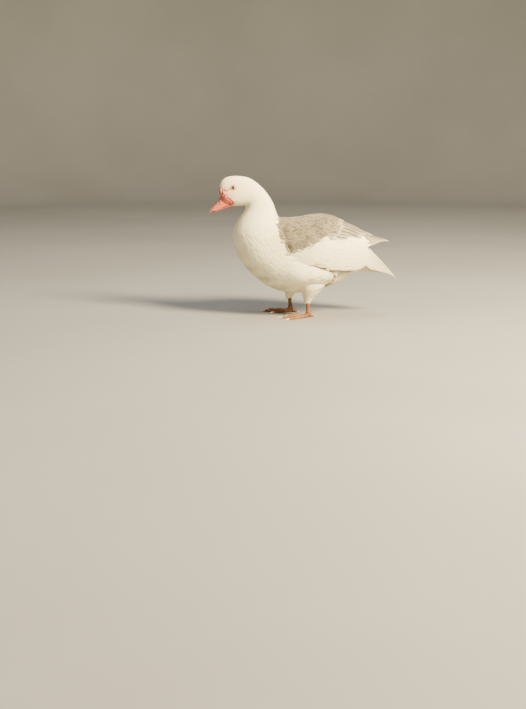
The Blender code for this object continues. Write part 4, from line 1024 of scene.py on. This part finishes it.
def eye_pieces(material):
    """Each eye turned out from the head, its pupil on the axis."""
    for side, name in ((-1, "eye_left"), (1, "eye_right")):
        low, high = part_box(name)
        centre = (np.array(low) + np.array(high)) / 2
        axis = unit(np.array([-0.22, side * 1.0, 0.10]))
        second = unit(np.cross(axis, UP))
        third = np.cross(axis, second)
        polar, round_ = np.linspace(0, math.pi, 60)[:, None], full_turn(64)[None]
        radius = EYE_RADIUS * (0.985 + 0.03 * bell(polar, 0.55))
        grid = axis * (np.cos(polar) * radius)[..., None]
        grid = grid + second * (np.sin(polar) * np.cos(round_) * radius)[..., None]
        grid = grid + third * (np.sin(polar) * np.sin(round_) * radius)[..., None] + centre
        points, faces, uv = tube_piece(grid, flip=side < 0)
        radial = np.arccos(np.clip(unit(points - centre) @ axis, -1, 1))
        spin = np.arctan2((points - centre) @ third, (points - centre) @ second)
        values = [("radial", radial), ("spin_x", np.cos(spin)), ("spin_y", np.sin(spin))]
        mesh = make_mesh(f"{name}_ball", points, faces, [("OFBake", uv)], values)
        add_piece(f"{name}_ball", mesh, material, (name,))


def toe_heading(angle, side):
    turned = angle - TOE_OUT
    return np.array([-math.cos(turned), -side * math.sin(turned), 0.0])


def round_path(middle, across, t, wide, tall):
    """Rows of points round a path that lies along the floor: its middle, and the half sizes."""
    return middle + across * (np.cos(t) * wide)[..., None] + UP * (np.sin(t) * tall)[..., None]


def above_floor(points):
    points[..., 2] = np.maximum(points[..., 2], 0.0)
    return points


def toe_grid(hub, heading, toe):
    """A toe: flat underneath, with overlapping scutes along its top and pads at its joints."""
    _, length, root, end, _ = toe
    u, t = np.linspace(0, 1, int(length * TOE_ROWS_PER_M))[:, None], full_turn(40)[None]
    radius = (root + (end - root) * u) * (1 + 0.10 * np.cos(u * 4 * math.pi)) * (1 - 0.10 * u**6)
    lift = np.clip(1 - u / 0.30, 0, 1) ** 2 * TOE_LIFT
    saw = (u * length / TOE_SCUTE) % 1.0
    scute = SCUTE_HIGH * (saw - 0.5) * smoothstep(0.15, 0.6, np.sin(t))
    pads = TOE_PAD_HIGH * np.sin(u * length / TOE_PAD_LONG * 2 * math.pi)
    pads = pads * smoothstep(0.2, 0.7, -np.sin(t)) * 0.5
    shape = (radius + scute + pads) * rounded_end(u, 0.955, least=0.12)
    middle = hub + heading * (length * u)[..., None] + UP * (radius - TOE_SINK + lift)[..., None]
    return above_floor(round_path(middle, np.cross(heading, UP), t, shape * 1.05, shape))


def web_part(hub, first, second, reach_first, reach_second):
    """The web between two toes, finely wrinkled, its front edge a shallow bay."""
    f, r = np.linspace(0, 1, 40)[:, None], np.linspace(0, 1, 50)[None]
    heading = unit(first * (1 - f[..., None]) + second * f[..., None])
    reach = (reach_first + (reach_second - reach_first) * f) * (1 - WEB_BAY * 4 * f * (1 - f))
    sag = WEB_SAG * 4 * f * (1 - f)
    wrinkle = 0.00022 * np.sin(f * 46 + r * 3) * np.sin(f * math.pi) + 0.00012 * np.sin(r * 60 + f * 5)
    middle = WEB_HEIGHT + 0.0022 * (1 - r) ** 3 - sag + wrinkle
    thick = WEB_HALF_THICK * rounded_end(r, 0.96)
    top = hub + heading * (WEB_FROM + (reach - WEB_FROM) * r)[..., None]
    low = top.copy()
    top[..., 2], low[..., 2] = middle + thick, middle - thick
    return tube_piece(np.concatenate([top, low[:, ::-1]], axis=1))


def shank_part(foot_x, y, lean):
    """Shank and ankle joint in one tube down into the hub of the toes."""
    form, h, t = np.array(SHANK_FORM), np.linspace(-0.10, 1.30, 90), full_turn(48)
    sizes = spline(form[:, 0], form[:, 1:], np.clip(h, 0, 1))
    sizes = sizes * (1 + 0.18 * smoothstep(1.0, 1.15, h) - 0.35 * smoothstep(1.2, 1.3, h))[:, None]
    z = SHANK_TOP - 0.0003 + (SHANK_FOOT - SHANK_TOP) * h
    x = foot_x + lean * np.clip((z - 0.010) / (SHANK_TOP - 0.010), 0, 1)
    saw = ((z / SHANK_SCUTE) % 1.0)[:, None]
    scute = 0.00025 * (0.5 - saw) * smoothstep(-0.1, -0.6, np.cos(t))[None]
    x = x[:, None] + (sizes[:, :1] + scute) * np.cos(t)
    y = y + (sizes[:, 1:] + scute) * np.sin(t)
    return tube_piece(np.stack(np.broadcast_arrays(x, y, z[:, None]), axis=-1))


def claw_grid(hub, heading, toe):
    """A claw from just inside its toe's end, bent down to the floor."""
    _, toe_length, _, end, claw_length = toe
    root = hub + heading * (toe_length - CLAW_INSIDE)
    root[2] = end - 0.0008
    u, r = np.linspace(0, 1, 30)[:, None], full_turn(28)[None]
    width = end * 0.80 * (1 - 0.94 * u**1.3)
    length = claw_length + CLAW_INSIDE
    drop = (root[2] - 0.0014) * u**1.8
    groove = 1 - 0.10 * bell(r - 1.5 * math.pi, 0.5)
    middle = root + heading * (length * u * (1 - 0.12 * u))[..., None] - UP * drop[..., None]
    return above_floor(round_path(middle, np.cross(heading, UP), r, width * 0.85, width * groove))


def leg_pieces(skin, horn):
    """Each leg's skin from shank to webs, and its claws."""
    for leg, (side, foot_x, lean) in LEGS.items():
        hub = np.array([foot_x, side * LEG_SIDE, 0.0])
        headings = {name: toe_heading(toe[0], side) for name, toe in TOES.items()}
        parts = [tube_piece(toe_grid(hub, headings[name], toe), flip=True) for name, toe in TOES.items()]
        for first, second in (("inner", "middle"), ("middle", "outer")):
            reaches = (TOES[name][1] * WEB_REACH for name in (first, second))
            parts.append(web_part(hub, headings[first], headings[second], *reaches))
        parts.append(shank_part(foot_x, hub[1], lean))
        points, faces, uv = join_parts(parts)
        mesh = make_mesh(f"leg_{leg}", above_floor(points), faces, [("OFBake", uv)])
        add_piece(f"leg_{leg}", mesh, skin, (f"shank_{leg}", f"foot_{leg}"))
        for toe_name, toe in TOES.items():
            name = f"claw_{leg}_{toe_name}"
            points, faces, uv = tube_piece(claw_grid(hub, headings[toe_name], toe), flip=True)
            values = [("along", np.repeat(np.linspace(0, 1, 32), 28))]
            mesh = make_mesh(f"{name}_horn", points, faces, [("OFBake", uv)], values)
            add_piece(f"{name}_horn", mesh, horn, (name,))


class Nodes:
    """A short way to write a material's nodes."""

    def __init__(self, name):
        self.material = bpy.data.materials.new(name)
        self.material.use_nodes = True
        self.tree = self.material.node_tree
        self.shader = self.tree.nodes["Principled BSDF"]

    def add(self, kind, inputs=(), **settings):
        """A new node with its settings, and its inputs fed by name or number."""
        node = self.tree.nodes.new(kind)
        for key, value in settings.items():
            setattr(node, key, value)
        for key, value in dict(inputs).items():
            self.feed(node.inputs[key], value)
        return node

    def feed(self, socket, value):
        if isinstance(value, bpy.types.NodeSocket):
            self.tree.links.new(value, socket)
        else:
            socket.default_value = value

    def attribute(self, name):
        return self.add("ShaderNodeAttribute", attribute_name=name).outputs["Fac"]

    def maths(self, operation, a, b=0.0, clamp=False):
        return self.add("ShaderNodeMath", {0: a, 1: b}, operation=operation, use_clamp=clamp).outputs[0]

    def times(self, a, b):
        return self.maths("MULTIPLY", a, b)

    def plus(self, a, b):
        return self.maths("ADD", a, b)

    def step(self, value, low, high):
        inputs = {"Value": value, "From Min": low, "From Max": high}
        return self.add("ShaderNodeMapRange", inputs, interpolation_type="SMOOTHSTEP").outputs["Result"]

    def mix(self, share, a, b):
        a, b = ((*value, 1) if isinstance(value, tuple) else value for value in (a, b))
        return self.add("ShaderNodeMix", {0: share, 6: a, 7: b}, data_type="RGBA").outputs[2]

    def position(self):
        return self.add("ShaderNodeTexCoord").outputs["Object"]

    def noise(self, scale, detail, vector=None):
        inputs = {"Scale": scale, "Detail": detail, "Vector": vector or self.position()}
        return self.add("ShaderNodeTexNoise", inputs).outputs["Fac"]

    def cells(self, scale):
        inputs = {"Scale": scale, "Vector": self.position()}
        return self.add("ShaderNodeTexVoronoi", inputs, feature="DISTANCE_TO_EDGE").outputs["Distance"]

    def combine(self, x, y, z):
        return self.add("ShaderNodeCombineXYZ", {0: x, 1: y, 2: z}).outputs[0]

    def bump(self, height, distance, strength=1.0):
        inputs = {"Strength": strength, "Distance": distance, "Height": height}
        return self.add("ShaderNodeBump", inputs).outputs["Normal"]

    def set(self, values):
        for key, value in values.items():
            self.feed(self.shader.inputs[key], value)

    def glow(self, weight, radius):
        """Light that spreads under the surface."""
        self.set({"Subsurface Weight": weight, "Subsurface Radius": radius, "Subsurface Scale": 0.5})

    def finish(self, colour, roughness, normal=None):
        self.set({"Base Color": colour, "Roughness": roughness})
        if normal:
            self.feed(self.shader.inputs["Normal"], normal)
        return self.material


def plumage_colour(n, tone, seed, edge=None):
    """White feathers with a warm cast by place, darkened brown by painted shade and some dirt, or grey ones
    with pale edges.
    """
    cast = n.mix(n.step(n.noise(9.0, 4), 0.40, 0.72), WHITE, CREAM)
    # Painted shade and dirt: their share turns the white dark brown, in patches.
    cast = n.mix(n.times(n.attribute("soil"), n.step(n.noise(90.0, 3), 0.25, 0.50)), cast, SHADE_AND_SOIL_BROWN)
    cast = n.mix(n.times(seed, 0.22), cast, CREAM)
    grey = n.mix(n.step(n.noise(26.0, 3), 0.35, 0.70), GREY, DARK_GREY)
    grey = n.mix(n.times(seed, 0.18), grey, PALE_EDGE)
    if edge is not None:
        grey = n.mix(edge, grey, PALE_EDGE)
    return n.mix(tone, cast, grey)


def feather_material(name, barb_scale, barb_depth, shaft_share, edge_share):
    """Feathers: barbs as fine slanted ridges, a shaft, and a pale edge where they are grey."""
    n = Nodes(name)
    apart = n.add("ShaderNodeSeparateXYZ")
    n.feed(apart.inputs[0], n.add("ShaderNodeUVMap", uv_map="Feather").outputs["UV"])
    from_shaft = n.maths("ABSOLUTE", n.maths("SUBTRACT", apart.outputs["X"], 0.5))
    along = apart.outputs["Y"]
    seed, tone = n.attribute("seed"), n.attribute("tone")
    slant = n.maths("SUBTRACT", along, n.times(from_shaft, 0.7))
    ridge = n.maths("SINE", n.times(slant, barb_scale))
    clump = n.noise(1.0, 2, vector=n.combine(n.times(slant, barb_scale * 0.22), seed, from_shaft))
    shaft = n.step(from_shaft, 0.035, 0.012)
    edge = n.maths("MAXIMUM", n.step(from_shaft, 0.30, 0.47), n.step(along, 0.80, 0.97))
    ragged = n.maths("ADD", edge, n.times(n.maths("SUBTRACT", clump, 0.5), 0.5), clamp=True)
    colour = plumage_colour(n, tone, seed, n.times(ragged, edge_share))
    colour = n.mix(n.times(shaft, shaft_share), colour, PALE_EDGE)
    height = n.plus(n.times(ridge, 0.4), n.times(clump, 1.3))
    height = n.plus(height, n.times(shaft, 1.6 * shaft_share))
    n.set({"Sheen Weight": 0.25, "Sheen Roughness": 0.4, "Specular IOR Level": 0.30})
    n.glow(0.12, (0.006, 0.005, 0.004))
    return n.finish(colour, 0.72, n.bump(height, barb_depth))


def skin_material():
    """Down under the feathers, and the bare red and peach skin of the face, with painted shade in the
    hollows between its bulbs and a painted highlight on their tops.
    """
    n = Nodes("duck_skin")
    bare, red, relief = n.attribute("bare"), n.attribute("red"), n.attribute("relief")
    blotch = n.noise(160.0, 4)
    flesh = n.mix(n.step(blotch, 0.40, 0.68), PEACH, PINK)
    face = n.mix(red, flesh, n.mix(n.step(blotch, 0.35, 0.65), PINK, RED))
    # Painted shade: darker red where the face's relief is low, between the bulbs.
    face = n.mix(n.times(n.step(relief, 0.45, 0.0), n.times(red, 0.35)), face, HOLLOW_SHADE_RED)
    # Painted highlight: paler red on the bulbs' tops.
    face = n.mix(n.times(n.step(relief, 0.55, 1.1), 0.22), face, BULB_HIGHLIGHT_RED)
    down = plumage_colour(n, n.attribute("tone"), n.attribute("seed"))
    colour = n.mix(n.step(bare, 0.05, 0.30), down, face)
    grain = n.plus(n.cells(1400.0), n.times(n.noise(2600.0, 2), 0.3))
    roughness = n.plus(n.times(bare, FACE_ROUGHNESS - DOWN_ROUGHNESS), DOWN_ROUGHNESS)
    n.glow(0.15, (0.004, 0.0016, 0.001))
    return n.finish(colour, roughness, n.bump(grain, 0.0003, 0.6))


def bill_material():
    """Pink-red horn, mottled, paler at the nail, with painted shade in the nostrils."""
    n = Nodes("bill_horn")
    mottle = n.noise(220.0, 4)
    colour = n.mix(n.step(mottle, 0.38, 0.66), *BILL_HORN)
    colour = n.mix(n.step(n.attribute("along"), 0.80, 0.98), colour, BILL_NAIL)
    # Painted shade in the nostrils.
    colour = n.mix(n.attribute("dark"), colour, NOSTRIL_SHADE)
    grain = n.plus(n.noise(900.0, 4), n.times(n.noise(180.0, 3), 2.0))
    n.glow(0.12, (0.004, 0.0015, 0.001))
    return n.finish(colour, n.plus(n.times(mottle, 0.22), 0.30), n.bump(grain, 0.00022))


def eye_material():
    """A dark pupil, a brown iris with streaks and a dark rim, under a wet coat."""
    n = Nodes("eye_ball")
    radial = n.attribute("radial")
    spun = n.combine(n.attribute("spin_x"), n.attribute("spin_y"), n.times(radial, 0.6))
    iris = n.mix(n.step(n.noise(7.0, 4, vector=spun), 0.35, 0.65), *IRIS)
    colour = n.mix(n.step(radial, 0.30, 0.33), PUPIL, iris)
    colour = n.mix(n.step(radial, 0.66, 0.78), colour, EYE_RIM)
    n.set({"Coat Weight": 1.0, "Coat Roughness": 0.02})
    return n.finish(colour, 0.15)


def leg_material():
    """Orange-brown skin in small scales with dark cracks."""
    n = Nodes("leg_skin")
    patch, cells = n.noise(60.0, 4), n.cells(620.0)
    colour = n.mix(n.step(patch, 0.36, 0.66), *LEG_SKIN)
    colour = n.mix(n.step(n.noise(210.0, 3), 0.52, 0.72), colour, LEG_PALE)
    colour = n.mix(n.times(n.step(cells, 0.10, 0.02), 0.55), colour, LEG_CRACK)
    height = n.plus(n.step(cells, 0.0, 0.16), n.times(n.noise(1500.0, 3), 0.3))
    n.glow(0.08, (0.003, 0.0012, 0.0008))
    return n.finish(colour, n.plus(n.times(patch, 0.25), 0.38), n.bump(height, 0.00028))


def claw_material():
    """Pale horn with fine lines, browner at the root."""
    n = Nodes("claw_horn")
    lines = n.noise(700.0, 3)
    colour = n.mix(n.step(n.attribute("along"), 0.05, 0.75), *CLAW_HORN)
    colour = n.mix(n.times(n.step(lines, 0.45, 0.7), 0.4), colour, CLAW_LINES)
    return n.finish(colour, 0.36, n.bump(lines, 0.00012))


def stage_and_light():
    """A plain pale floor that curves up behind, soft light from the camera's right and from above."""
    n = Nodes("studio_paper")
    colour = n.mix(n.step(n.noise(1.6, 3), 0.3, 0.7), *PAPER)
    paper = n.finish(colour, 0.85, n.bump(n.noise(1800.0, 2), 0.0002, 0.3))
    curve = np.linspace(0, math.pi / 2, 20)
    profile = [(r, 0.0) for r in (0.02, 1.0, 2.5, FLOOR_FLAT)]
    profile += [(FLOOR_FLAT + FLOOR_BEND * math.sin(a), FLOOR_BEND - FLOOR_BEND * math.cos(a))
                for a in curve[1:]]
    profile += [(FLOOR_FLAT + FLOOR_BEND, WALL_TOP)]
    grid = np.array([[(r * math.cos(a), r * math.sin(a), z) for a in full_turn(96)] for r, z in profile])
    points, faces, _ = tube_piece(np.concatenate([grid[:1] * (0, 0, 1), grid]), caps=False)
    mesh = make_mesh("floor", points, faces)
    mesh.materials.append(paper)
    floor = place("floor", mesh)
    for name, spot, size, power, colour in LIGHTS:
        light = bpy.data.lights.new(name, "AREA")
        light.size = size
        light.energy = power
        light.color = colour
        lamp = place(name, light)
        lamp.location = spot
        lamp.rotation_euler = (Vector(spot) - Vector(LIGHTS_AIM)).to_track_quat("Z", "Y").to_euler()
    world = bpy.data.worlds.new("studio_air")
    world.use_nodes = True
    air = world.node_tree.nodes["Background"]
    air.inputs["Color"].default_value = (*AIR, 1)
    air.inputs["Strength"].default_value = AIR_STRENGTH
    bpy.context.scene.world = world


def place_camera():
    """The photo's angle and framing: the duck's middle falls on its pixel of the photo."""
    a, e = CAMERA_AZIMUTH, CAMERA_ELEVATION
    back = Vector((math.sin(a) * math.cos(e), -math.cos(a) * math.cos(e), math.sin(e)))
    data = bpy.data.cameras.new("photo_camera")
    data.sensor_fit = "VERTICAL"
    data.sensor_height = SENSOR_HIGH
    data.lens = SENSOR_HIGH * FOCAL_PIXELS / PHOTO_HIGH
    data.clip_start = 0.05
    camera = place("photo_camera", data)
    right = math.atan((DUCK_AT_PIXEL[0] - PHOTO_WIDE / 2) / FOCAL_PIXELS)
    above = math.atan((PHOTO_HIGH / 2 - DUCK_AT_PIXEL[1]) / FOCAL_PIXELS)
    looking = back.to_track_quat("Z", "Y").to_matrix().to_4x4()
    aimed = Matrix.Rotation(right, 4, "Z") @ looking @ Matrix.Rotation(-above, 4, "X")
    camera.matrix_world = Matrix.Translation(Vector(DUCK_MIDDLE) + back * CAMERA_DISTANCE) @ aimed
    bpy.context.scene.camera = camera


place_camera()
stage_and_light()
skin = skin_material()
small = feather_material("small_feathers", 110.0, 0.00005, 0.10, 0.30)
long = feather_material("long_feathers", 640.0, 0.00012, 0.6, 0.70)
skin_piece(skin)
for seed, (name, zone) in enumerate(COAT.items(), 20):
    body_plumage(name, zone, seed, small)
thigh_plumage(small)
wing_pads(skin)
for name, tier in WING_TIERS.items():
    tier_feathers(name, tier, long)
for name, coat in COVERT_COATS.items():
    covert_coat(name, coat, small)
tail_feathers("rectrix", TAIL_TIERS["rectrix"], long, ("tail",))
tail_feathers("long_tail_covert", TAIL_TIERS["long_covert"], long)
tail_feathers("short_tail_covert", TAIL_TIERS["short_covert"], long)
bill_pieces(bill_material())
eye_pieces(eye_material())
leg_pieces(leg_material(), claw_material())
bpy.context.view_layer.update()
